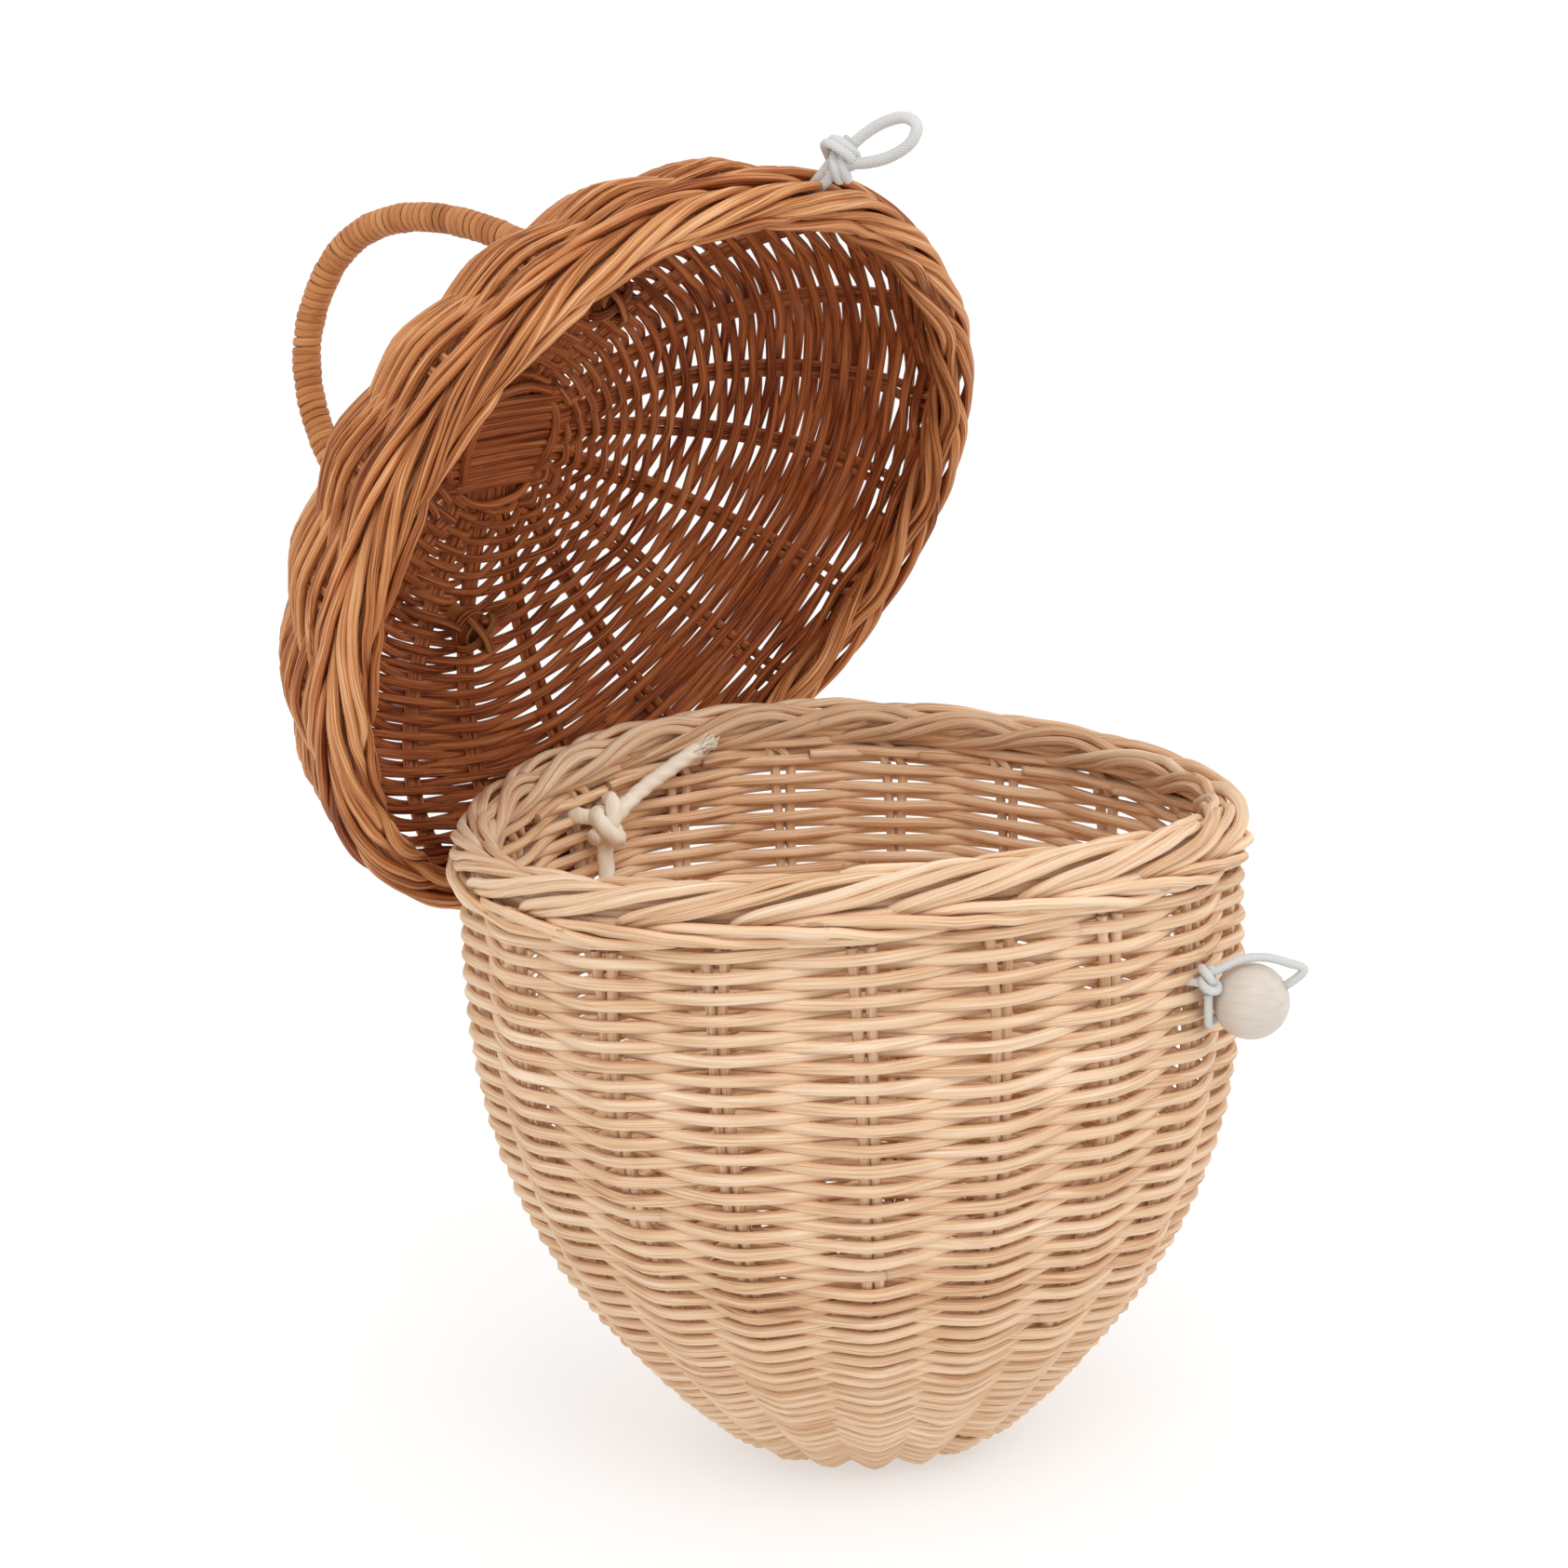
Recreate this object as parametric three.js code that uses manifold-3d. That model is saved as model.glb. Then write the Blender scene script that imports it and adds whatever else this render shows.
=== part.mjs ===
import * as THREE from 'three';
import { mergeVertices } from 'three/addons/utils/BufferGeometryUtils.js';
import Module from 'manifold-3d';

// Acorn-shaped storage basket with a lid tied on at the back. Millimetres, +Z up, front towards -Y.
// Angles run from the front towards +X, so 180 degrees is the back, where the tie is.

const wasm = await Module();
wasm.setup();

// Cane and gaps
const fitGap = 0.3;
const stakeGap = 0.55;
const caneRadius = 1.35;
const stakeHalfWidth = 2 * caneRadius;

// Basket
const rimHeight = 168;
const footRadius = 33;
const bellyRadius = 97.4;
const bellyHeight = 140;
const bellyRoundness = 2.5;
const footRoundness = 0.95;
const basketWeaveDepth = 4.4;
const basketBorderHalfWidth = 4.8;
const basketBorderHalfHeight = 5.2;
const basketBorderProud = 1.4;
const basketStakeCount = 19;

// Cross of rods at the middle of the bottom and of the dome
const slathHalfLength = 15;
const slathRods = 9;

// Cane bulges out over each stake and lies deeper between the stakes
const scallopDepth = 2.6;
const scallopFade = 20;

// Lid
const domeProud = 1.5;
const domeBulge = 4.5;
const domeBulgeHeight = 20;
const domeHeight = 66.6;
const domeRoundness = 2.2;
const lidWeaveDepth = 2.4;
const lidBorderHalfWidth = 4.9;
const lidBorderHalfHeight = 5;
const lidOverhang = 7.6;
const lidRestGap = 0.5;
const lidOpenAngle = THREE.MathUtils.degToRad(62.9);
const lidDrop = 41;
const lidStakeCount = 20;

// Handle
const handleTurn = THREE.MathUtils.degToRad(7);
const handleHalfSpan = 50;
const handleRise = 96.5;
const handleRoundness = 2.28;
const handleCoreRadius = 3;
const wrapThickness = 0.8;
const wrapClearance = 0.4;
const wrapWidth = 6.2;
const wrapTurns = 24;
const lashingThickness = 2.4;
const lashingHeight = 5.6;
const lashingClearance = 2.3;
const lashingEdge = 0.8;

// Hinge tie
const tieRadius = 1.8;
const tieBelowWall = 8.3;
const tieKnotRadius = 4.5;
const tieSlack = 0.5;
const tieTailReach = 32;
const tieTailRise = 15;
const tieEndLength = 33;

// Bead and its cord
const beadRadius = 9;
const beadBoreRadius = 2;
const beadCordRadius = 1.05;
const beadKnotRadius = 2.9;
const beadBelowWall = 26.6;
const beadDrop = 6;
const beadSideways = 9;
const beadTilt = THREE.MathUtils.degToRad(25);
const beadSwivel = THREE.MathUtils.degToRad(58);

// Closing loop
const loopAngle = THREE.MathUtils.degToRad(9);
const loopCordRadius = 1.45;
const loopKnotRadius = 3.6;
const loopStem = 6.5;
const loopLength = 24;
const loopHalfWidth = 4.2;
const loopDroop = THREE.MathUtils.degToRad(43);

// Steps of the meshes
const stepsPerStake = 4;
const wallRows = 9;
const domeRows = 9;
const borderSteps = 40;
const wrapStepsPerTurn = 11;

const straw = 0xd6b493;
const strawDark = 0xc8a280;
const brown = 0xa86d45;
const brownDark = 0x7e4b31;
const caneTan = 0xb17a56;
const cotton = 0xd1bda8;
const elasticWhite = 0xdbdad8;
const beadWood = 0xe0d4c8;

function material(color, roughness) {
  return new THREE.MeshStandardMaterial({ color, roughness, metalness: 0 });
}

function around(radius, angle, height) {
  return new THREE.Vector3(radius * Math.sin(angle), -radius * Math.cos(angle), height);
}

function meshGeometry(positions, triangles) {
  const geometry = new THREE.BufferGeometry();
  geometry.setAttribute('position', new THREE.Float32BufferAttribute(positions, 3));
  geometry.setIndex(triangles);
  return geometry;
}

// Turns a profile of [radius, height] points about Z. It runs up the outside and down the inside,
// and either closes on itself or starts and ends on the axis. With lobes, it goes over into a second
// profile between them.
function revolve(profile, steps, closed, between = profile, lobes = 0) {
  const positions = [];
  const rings = [];
  profile.forEach(([radius, height], row) => {
    const [deepRadius, deepHeight] = between[row];
    const ring = [];
    const count = radius === 0 ? 1 : steps;
    for (let step = 0; step < count; step += 1) {
      const angle = (2 * Math.PI * step) / steps;
      const share = 1 - Math.abs(Math.cos((lobes * (angle - Math.PI)) / 2));
      const reach = THREE.MathUtils.lerp(radius, deepRadius, share);
      const lift = THREE.MathUtils.lerp(height, deepHeight, share);
      ring.push(positions.length / 3);
      positions.push(reach * Math.sin(angle), -reach * Math.cos(angle), lift);
    }
    rings.push(ring);
  });
  const triangles = [];
  const last = closed ? rings.length : rings.length - 1;
  for (let row = 0; row < last; row += 1) {
    const low = rings[row];
    const high = rings[(row + 1) % rings.length];
    for (let step = 0; step < steps; step += 1) {
      const a = low[step % low.length];
      const b = low[(step + 1) % low.length];
      const c = high[(step + 1) % high.length];
      const d = high[step % high.length];
      if (a !== b) triangles.push(a, b, c);
      if (c !== d) triangles.push(a, c, d);
    }
  }
  return meshGeometry(positions, triangles);
}

function circle(radius, sides) {
  const outline = [];
  for (let side = 0; side < sides; side += 1) {
    const angle = (2 * Math.PI * side) / sides;
    outline.push([radius * Math.cos(angle), radius * Math.sin(angle)]);
  }
  return outline;
}

function tangents(path) {
  return path.map((point, index) => {
    const before = path[Math.max(0, index - 1)];
    const after = path[Math.min(path.length - 1, index + 1)];
    return after.clone().sub(before).normalize();
  });
}

// Carries the first direction along the path without twist.
function carried(path, first) {
  const along = tangents(path);
  const directions = [];
  let direction = first.clone();
  for (const tangent of along) {
    direction = direction.clone().addScaledVector(tangent, -direction.dot(tangent)).normalize();
    directions.push(direction);
  }
  return directions;
}

// Sweeps a convex outline along a path. The outline's first axis follows the directions given.
function sweep(path, directions, outline) {
  const along = tangents(path);
  const positions = [];
  const sides = outline.length;
  path.forEach((point, index) => {
    const tangent = along[index];
    const first = directions[index].clone();
    first.addScaledVector(tangent, -first.dot(tangent)).normalize();
    const second = tangent.clone().cross(first);
    for (const [u, v] of outline) {
      const corner = point.clone().addScaledVector(first, u).addScaledVector(second, v);
      positions.push(corner.x, corner.y, corner.z);
    }
  });
  const triangles = [];
  for (let ring = 0; ring + 1 < path.length; ring += 1) {
    for (let side = 0; side < sides; side += 1) {
      const next = (side + 1) % sides;
      const a = ring * sides + side;
      const b = ring * sides + next;
      triangles.push(a, b, b + sides, a, b + sides, a + sides);
    }
  }
  const end = (path.length - 1) * sides;
  for (let side = 1; side + 1 < sides; side += 1) {
    triangles.push(0, side + 1, side);
    triangles.push(end, end + side, end + side + 1);
  }
  return meshGeometry(positions, triangles);
}

function tube(points, radius, sides, steps, first) {
  const curve = new THREE.CatmullRomCurve3(points, false, 'centripetal');
  const path = curve.getSpacedPoints(steps);
  return sweep(path, carried(path, first), circle(radius, sides));
}

function solid(geometry) {
  const plain = new THREE.BufferGeometry();
  plain.setAttribute('position', geometry.getAttribute('position'));
  plain.setIndex(geometry.getIndex());
  const merged = mergeVertices(plain, 1e-4);
  return new wasm.Manifold(new wasm.Mesh({
    numProp: 3,
    vertProperties: new Float32Array(merged.getAttribute('position').array),
    triVerts: new Uint32Array(merged.getIndex().array),
  }));
}

function cut(geometry, tools) {
  let body = solid(geometry);
  for (const tool of tools) body = body.subtract(solid(tool));
  const mesh = body.getMesh();
  return meshGeometry(Array.from(mesh.vertProperties), Array.from(mesh.triVerts));
}

function drill(from, to, radius) {
  const path = [from, to];
  const side = Math.abs(to.clone().sub(from).normalize().z) > 0.9 ? 'x' : 'z';
  const first = new THREE.Vector3(side === 'x' ? 1 : 0, 0, side === 'z' ? 1 : 0);
  return sweep(path, [first, first], circle(radius, 10));
}

function addMesh(parent, name, geometry, color, roughness) {
  const shaded = geometry.toNonIndexed();
  shaded.computeVertexNormals();
  const mesh = new THREE.Mesh(shaded, material(color, roughness));
  mesh.name = name;
  parent.add(mesh);
  return mesh;
}

function numbered(name, index) {
  return `${name}_${String(index + 1).padStart(2, '0')}`;
}

// Basket outline: flat foot, then a wall that rounds out to the belly.
function basketRadius(height) {
  const fall = Math.max(0, 1 - height / bellyHeight);
  const swell = (1 - fall ** bellyRoundness) ** footRoundness;
  return footRadius + (bellyRadius - footRadius) * swell;
}

// Point of the wall at a height, moved inwards by a depth.
function insideWall(height, depth) {
  const small = 0.01;
  const slope = (basketRadius(height + small) - basketRadius(height)) / small;
  const length = Math.hypot(1, slope);
  return [basketRadius(height) - depth / length, height + (depth * slope) / length];
}

// Outline of the basket moved inwards by a depth: the flat bottom, the corner, then the wall.
function basketOutline(depth, top, rows) {
  let low = 0;
  let high = depth;
  for (let halving = 0; halving < 40; halving += 1) {
    const middle = (low + high) / 2;
    if (insideWall(middle, depth)[1] < depth) low = middle;
    else high = middle;
  }
  const points = [[0, depth]];
  for (let row = 0; row <= rows; row += 1) {
    points.push(insideWall(high + (top - high) * (row / rows) ** 1.5, depth));
  }
  return points;
}

// How far the dome is drawn in below its bulge, down to the border
function domeDrawnIn(height) {
  return domeBulge * Math.max(0, 1 - (height - domeBottom) / domeBulgeHeight) ** 2;
}

function domePoint(turn) {
  const power = 2 / domeRoundness;
  const height = domeHeight * Math.sin(turn) ** power;
  return [domeRadius * Math.cos(turn) ** power - domeDrawnIn(height), height];
}

// Dome outline moved inwards by a depth, from the border up to the axis, in the lid's own heights.
function domeOutline(depth, bottom, rows) {
  const start = Math.asin((bottom / domeHeight) ** (domeRoundness / 2));
  const points = [];
  for (let row = 0; row < rows; row += 1) {
    const turn = start + ((Math.PI / 2 - start) * row) / rows;
    const [radius, height] = domePoint(turn);
    const [nextRadius, nextHeight] = domePoint(turn + 0.001);
    const across = nextHeight - height;
    const up = radius - nextRadius;
    const length = Math.hypot(across, up);
    points.push([radius - (depth * across) / length, height - (depth * up) / length]);
  }
  points.push([0, domeHeight - depth]);
  return points;
}

// Height of the dome's outside at a radius
function domeHeightAt(radius) {
  return domeHeight * (1 - (radius / domeRadius) ** domeRoundness) ** (1 / domeRoundness);
}

// An outline between two stakes: the deeper outline, which fades out towards the middle
function scalloped(outline, deeper, middle) {
  return outline.map(([radius, height], row) => {
    const share = THREE.MathUtils.smoothstep(radius, middle, middle + scallopFade);
    const [deepRadius, deepHeight] = deeper[row];
    return [
      THREE.MathUtils.lerp(radius, deepRadius, share),
      THREE.MathUtils.lerp(height, deepHeight, share),
    ];
  });
}

function borderProfile(radius, height, halfWidth, halfHeight) {
  return circle(1, 10).map(([u, v]) => [radius + u * halfWidth, height + v * halfHeight]);
}

// A pair of rods side by side, as one oval.
function stakeOutline() {
  const shoulder = 1.3 * caneRadius;
  return [
    [stakeHalfWidth, 0], [shoulder, caneRadius], [-shoulder, caneRadius],
    [-stakeHalfWidth, 0], [-shoulder, -caneRadius], [shoulder, -caneRadius],
  ];
}

function stakeGeometry(outline, angle) {
  const path = outline.map(([radius, height]) => around(radius, angle, height));
  const sideways = new THREE.Vector3(Math.cos(angle), Math.sin(angle), 0);
  return sweep(path, path.map(() => sideways), stakeOutline());
}

// Rods side by side as one flat bundle, along X or along Y.
const slathHalfWidth = slathRods * caneRadius;

function slathGeometry(height, lengthwise) {
  const half = lengthwise.clone().multiplyScalar(slathHalfLength);
  const middle = new THREE.Vector3(0, 0, height);
  const path = [middle.clone().sub(half), middle.clone().add(half)];
  const sideways = new THREE.Vector3(-lengthwise.y, lengthwise.x, 0);
  const shoulder = slathHalfWidth - 0.6 * caneRadius;
  const outline = [
    [slathHalfWidth, 0], [shoulder, caneRadius], [-shoulder, caneRadius],
    [-slathHalfWidth, 0], [-shoulder, -caneRadius], [shoulder, -caneRadius],
  ];
  return sweep(path, [sideways, sideways], outline);
}

const alongX = new THREE.Vector3(1, 0, 0);
const alongY = new THREE.Vector3(0, 1, 0);
const slathReach = Math.hypot(slathHalfLength, slathHalfWidth) + fitGap;

const group = new THREE.Group();
group.name = 'lidded_basket';

// Basket wall, with the holes that the tie and the bead's cord go through
const wallTop = rimHeight - 2 * basketBorderHalfHeight - fitGap;
const tieHeight = wallTop - tieBelowWall;
const beadKnotHeight = wallTop - beadBelowWall;
const basketStakeDepth = basketWeaveDepth + stakeGap + caneRadius;
const basketStakeInside = bellyRadius - basketStakeDepth - caneRadius;
const tieHoleRadius = tieRadius + tieSlack;
const tieSideways = stakeHalfWidth + tieHoleRadius + fitGap;
const basketStakeTurn = (2 * Math.PI) / basketStakeCount;
const frontStakeAngle = Math.PI - Math.floor(basketStakeCount / 2) * basketStakeTurn;
const beadHoleRadius = beadCordRadius + fitGap;
const beadHoleAngle = frontStakeAngle - (stakeHalfWidth + beadHoleRadius + 2 * fitGap) / basketStakeInside;
const drillInside = bellyRadius - basketWeaveDepth - 3;
const drillOutside = bellyRadius + 3;

const wallOuter = basketOutline(0, wallTop, wallRows);
const wallInner = basketOutline(basketWeaveDepth, wallTop, wallRows);
const wallOuterDeep = scalloped(wallOuter, basketOutline(scallopDepth, wallTop, wallRows), footRadius);
const wallInnerDeeper = basketOutline(basketWeaveDepth + scallopDepth, wallTop, wallRows);
const wallInnerDeep = scalloped(wallInner, wallInnerDeeper, footRadius);
const wallHoles = [-1, 1].map((side) => drill(
  new THREE.Vector3(side * tieSideways, drillInside, tieHeight),
  new THREE.Vector3(side * tieSideways, drillOutside, tieHeight),
  tieHoleRadius,
));
wallHoles.push(drill(
  around(drillInside, beadHoleAngle, beadKnotHeight),
  around(drillOutside, beadHoleAngle, beadKnotHeight),
  beadHoleRadius,
));
const wall = revolve(
  wallOuter.concat(wallInner.reverse()),
  stepsPerStake * basketStakeCount,
  false,
  wallOuterDeep.concat(wallInnerDeep.reverse()),
  basketStakeCount,
);
addMesh(group, 'basket_wall', cut(wall, wallHoles), straw, 0.62);

const basketBorderRadius = bellyRadius + basketBorderProud - basketBorderHalfWidth;
const basketBorderHeight = rimHeight - basketBorderHalfHeight;
const basketBorder = borderProfile(
  basketBorderRadius, basketBorderHeight, basketBorderHalfWidth, basketBorderHalfHeight,
);
addMesh(group, 'basket_border', revolve(basketBorder, borderSteps, true), straw, 0.6);

const lowerSlathHeight = basketWeaveDepth + fitGap + caneRadius;
const upperSlathHeight = lowerSlathHeight + 2 * caneRadius + fitGap;
addMesh(group, 'basket_slath_lower', slathGeometry(lowerSlathHeight, alongX), strawDark, 0.65);
addMesh(group, 'basket_slath_upper', slathGeometry(upperSlathHeight, alongY), strawDark, 0.65);

const basketStakePath = basketOutline(basketStakeDepth, wallTop, wallRows);
basketStakePath[0] = [slathReach, basketStakeDepth];
for (let index = 0; index < basketStakeCount; index += 1) {
  const angle = Math.PI + index * basketStakeTurn;
  const geometry = stakeGeometry(basketStakePath, angle);
  addMesh(group, numbered('basket_stake', index), geometry, strawDark, 0.62);
}

// Lid, drawn closed with its heights from the middle of its border, then opened
const lidBorderRadius = bellyRadius + basketBorderProud + lidOverhang - lidBorderHalfWidth;
const domeRadius = lidBorderRadius + domeProud + domeBulge;
const borderReach = lidBorderRadius - basketBorderRadius;
const basketBorderMean = (basketBorderHalfWidth + basketBorderHalfHeight) / 2;
const lidBorderMean = (lidBorderHalfWidth + lidBorderHalfHeight) / 2;
const borderSum = basketBorderMean + lidBorderMean;
const borderLift = Math.sqrt((borderSum + lidRestGap) ** 2 - borderReach ** 2);
const closedHeight = basketBorderHeight + borderLift;

// Middle of the lid's border at the back, with the lid closed and with it hanging open on the tie
const closedBack = new THREE.Vector2(lidBorderRadius, closedHeight);
const openBack = new THREE.Vector2(
  bellyRadius + 2 * tieRadius + 2 * tieSlack + lidBorderHalfWidth,
  rimHeight - lidDrop,
);
// The line that the lid turns about from one to the other
const backMove = openBack.clone().sub(closedBack);
const backSide = new THREE.Vector2(backMove.y, -backMove.x).normalize();
const hinge = closedBack.clone().add(openBack).multiplyScalar(0.5);
hinge.addScaledVector(backSide, backMove.length() / 2 / Math.tan(lidOpenAngle / 2));

const lidTurn = new THREE.Group();
lidTurn.name = 'lid_turned';
lidTurn.position.set(0, hinge.x, hinge.y);
lidTurn.rotation.x = -lidOpenAngle;
group.add(lidTurn);
const lid = new THREE.Group();
lid.name = 'lid';
lid.position.set(0, -hinge.x, closedHeight - hinge.y);
lidTurn.add(lid);

const domeBottom = lidBorderHalfHeight + fitGap;
const tieHoleLift = domeBottom + tieHoleRadius + 1;
const domeAtTie = domePoint(Math.asin((tieHoleLift / domeHeight) ** (domeRoundness / 2)))[0];
const domeHoles = [-1, 1].map((side) => drill(
  new THREE.Vector3(side * tieSideways, domeAtTie - lidWeaveDepth - 4, tieHoleLift),
  new THREE.Vector3(side * tieSideways, domeAtTie + 3, tieHoleLift),
  tieHoleRadius,
));
// The lashings sit below the stakes, and the handle ends just below them
const lidStakeDepth = lidWeaveDepth + stakeGap + caneRadius;
const lashingInner = handleCoreRadius + 2 * fitGap;
const lashingOuter = lashingInner + lashingThickness;
const stakeUnderside = domeHeightAt(handleHalfSpan + lashingOuter) - lidStakeDepth - caneRadius;
const handleFootHeight = stakeUnderside - lashingClearance - lashingHeight - fitGap;
const handleFeet = [0, Math.PI].map((turn) => around(handleHalfSpan, handleTurn + turn, handleFootHeight));
for (const foot of handleFeet) {
  const above = foot.clone().setZ(domeHeight + 6);
  domeHoles.push(drill(foot, above, handleCoreRadius + 2 * fitGap));
}
const domeOuter = domeOutline(0, domeBottom, domeRows);
const domeInner = domeOutline(lidWeaveDepth, domeBottom, domeRows);
const domeOuterDeep = scalloped(domeOuter, domeOutline(scallopDepth, domeBottom, domeRows), slathReach);
const domeInnerDeeper = domeOutline(lidWeaveDepth + scallopDepth, domeBottom, domeRows);
const domeInnerDeep = scalloped(domeInner, domeInnerDeeper, slathReach);
for (const outline of [domeInner, domeOuterDeep, domeInnerDeep]) outline[0][1] = domeBottom;
const dome = revolve(
  domeOuter.concat(domeInner.reverse()),
  stepsPerStake * lidStakeCount,
  true,
  domeOuterDeep.concat(domeInnerDeep.reverse()),
  lidStakeCount,
);
addMesh(lid, 'lid_dome', cut(dome, domeHoles), brown, 0.58);

const lidBorder = borderProfile(lidBorderRadius, 0, lidBorderHalfWidth, lidBorderHalfHeight);
const loopHole = drill(
  around(lidBorderRadius, loopAngle, 0),
  around(lidBorderRadius + 2 * lidBorderHalfWidth, loopAngle, 0),
  loopCordRadius + fitGap,
);
addMesh(lid, 'lid_border', cut(revolve(lidBorder, borderSteps, true), [loopHole]), brown, 0.55);

const upperCrossHeight = domeHeight - lidWeaveDepth - fitGap - 2 * caneRadius;
const lowerCrossHeight = upperCrossHeight - 2 * caneRadius - fitGap;
addMesh(lid, 'lid_slath_upper', slathGeometry(upperCrossHeight, alongY), brownDark, 0.6);
addMesh(lid, 'lid_slath_lower', slathGeometry(lowerCrossHeight, alongX), brownDark, 0.6);

const lidStakePath = domeOutline(lidStakeDepth, domeBottom + caneRadius, domeRows);
// The stakes end at the cross: the rows further in are cut off there
let beyond = lidStakePath.pop();
while (lidStakePath.at(-1)[0] < slathReach + stakeHalfWidth) beyond = lidStakePath.pop();
const [nearRadius, nearHeight] = lidStakePath.at(-1);
const cutShare = (nearRadius - slathReach) / (nearRadius - beyond[0]);
lidStakePath.push([slathReach, THREE.MathUtils.lerp(nearHeight, beyond[1], cutShare)]);
const lidStakeTurn = (2 * Math.PI) / lidStakeCount;
for (let index = 0; index < lidStakeCount; index += 1) {
  const geometry = stakeGeometry(lidStakePath, Math.PI + index * lidStakeTurn);
  addMesh(lid, numbered('lid_stake', index), geometry, brownDark, 0.58);
}

// Handle: a bow over the dome, wound with cane, its feet lashed inside
function handlePoint(turn) {
  const power = 2 / handleRoundness;
  const across = handleHalfSpan * Math.sign(Math.cos(turn)) * Math.abs(Math.cos(turn)) ** power;
  const height = handleFootHeight + handleRise * Math.sin(turn) ** power;
  return around(across, handleTurn, height);
}

const handlePoints = [];
for (let step = 0; step <= 24; step += 1) handlePoints.push(handlePoint((Math.PI * step) / 24));
const handleCurve = new THREE.CatmullRomCurve3(handlePoints, false, 'centripetal');
const handleSide = new THREE.Vector3(Math.cos(handleTurn), Math.sin(handleTurn), 0);
const corePath = handleCurve.getSpacedPoints(36);
const core = sweep(corePath, corePath.map(() => handleSide), circle(handleCoreRadius, 8));
addMesh(lid, 'handle_core', core, caneTan, 0.6);

const wrapRadius = handleCoreRadius + wrapClearance + wrapThickness / 2;
const handleLength = handleCurve.getLength();
const wrapStart = (domeHeight - handleFootHeight) / handleLength;
const wrapPath = [];
const wrapDirections = [];
const wrapSteps = wrapTurns * wrapStepsPerTurn;
for (let step = 0; step <= wrapSteps; step += 1) {
  const share = wrapStart + (1 - 2 * wrapStart) * (step / wrapSteps);
  const angle = (2 * Math.PI * step) / wrapStepsPerTurn;
  const tangent = handleCurve.getTangentAt(share);
  const outward = tangent.clone().cross(handleSide);
  const point = handleCurve.getPointAt(share);
  point.addScaledVector(handleSide, wrapRadius * Math.cos(angle));
  point.addScaledVector(outward, wrapRadius * Math.sin(angle));
  wrapPath.push(point);
  wrapDirections.push(tangent);
}
const wrapEdge = wrapWidth / 2;
const wrapShoulder = wrapEdge - wrapThickness / 2;
const wrapOutline = [
  [wrapEdge, 0], [wrapShoulder, wrapThickness / 2], [-wrapShoulder, wrapThickness / 2],
  [-wrapEdge, 0], [-wrapShoulder, -wrapThickness / 2], [wrapShoulder, -wrapThickness / 2],
];
let wrapGap = Infinity;
for (let step = 0; step + wrapStepsPerTurn <= wrapSteps; step += 1) {
  const near = wrapPath[step].clone().addScaledVector(wrapDirections[step], wrapEdge);
  const next = step + wrapStepsPerTurn;
  const far = wrapPath[next].clone().addScaledVector(wrapDirections[next], -wrapEdge);
  wrapGap = Math.min(wrapGap, far.sub(near).dot(wrapDirections[step]));
}
console.log(`handle wrap: least gap to itself ${wrapGap.toFixed(2)} mm`);
addMesh(lid, 'handle_wrap', sweep(wrapPath, wrapDirections, wrapOutline), caneTan, 0.5);

handleFeet.forEach((foot, index) => {
  const low = fitGap;
  const high = low + lashingHeight;
  const bulge = (low + high) / 2;
  const edge = lashingOuter - lashingEdge;
  const profile = [
    [lashingInner, low], [edge, low], [lashingOuter, bulge], [edge, high], [lashingInner, high],
  ];
  const ring = revolve(profile, 14, true);
  ring.translate(foot.x, foot.y, foot.z);
  addMesh(lid, index === 0 ? 'handle_lashing_front' : 'handle_lashing_back', ring, caneTan, 0.6);
});

// A round knot on a short stem, along +Z with the middle of the knot at the origin
function knotGeometry(radius, stemRadius, stemLength) {
  const profile = [[0, -stemLength], [stemRadius, -stemLength]];
  const first = Math.asin(stemRadius / radius);
  for (let step = 0; step < 6; step += 1) {
    const angle = first + ((Math.PI - first) * step) / 6;
    profile.push([radius * Math.sin(angle), -radius * Math.cos(angle)]);
  }
  profile.push([0, radius]);
  return revolve(profile, 10, false);
}

function pointed(geometry, direction, position) {
  const turn = new THREE.Quaternion().setFromUnitVectors(new THREE.Vector3(0, 0, 1), direction);
  geometry.applyQuaternion(turn);
  geometry.translate(position.x, position.y, position.z);
  return geometry;
}

// Closing loop at the front of the lid
const loopOut = around(1, loopAngle, 0);
const up = new THREE.Vector3(0, 0, 1);
const loopKnotMiddle = around(lidBorderRadius + lidBorderHalfWidth + loopStem, loopAngle, 0);
const loopStemLength = loopStem + lidBorderHalfWidth / 2;
const loopKnotUpright = knotGeometry(loopKnotRadius, loopCordRadius, loopStemLength);
const loopKnot = pointed(loopKnotUpright, loopOut, loopKnotMiddle);
addMesh(lid, 'closure_knot', loopKnot, elasticWhite, 0.8);

const loopForward = loopOut.clone().multiplyScalar(Math.cos(loopDroop));
loopForward.addScaledVector(up, -Math.sin(loopDroop));
const loopAcross = loopOut.clone().multiplyScalar(Math.sin(loopDroop));
loopAcross.addScaledVector(up, Math.cos(loopDroop));
const loopStart = loopKnotRadius + 2 * fitGap;
const loopShape = [
  [loopStart, loopCordRadius + fitGap],
  [0.35 * loopLength, 0.85 * loopHalfWidth],
  [0.62 * loopLength, loopHalfWidth],
  [0.88 * loopLength, 0.75 * loopHalfWidth], [loopLength, 0], [0.88 * loopLength, -0.75 * loopHalfWidth],
  [0.62 * loopLength, -loopHalfWidth],
  [0.35 * loopLength, -0.85 * loopHalfWidth],
  [loopStart, -loopCordRadius - fitGap],
];
const loopPoints = loopShape.map(([forward, across]) => loopKnotMiddle.clone()
  .addScaledVector(loopForward, forward).addScaledVector(loopAcross, across));
const loopSide = loopForward.clone().cross(loopAcross);
addMesh(lid, 'closure_loop', tube(loopPoints, loopCordRadius, 8, 24, loopSide), elasticWhite, 0.8);

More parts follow.
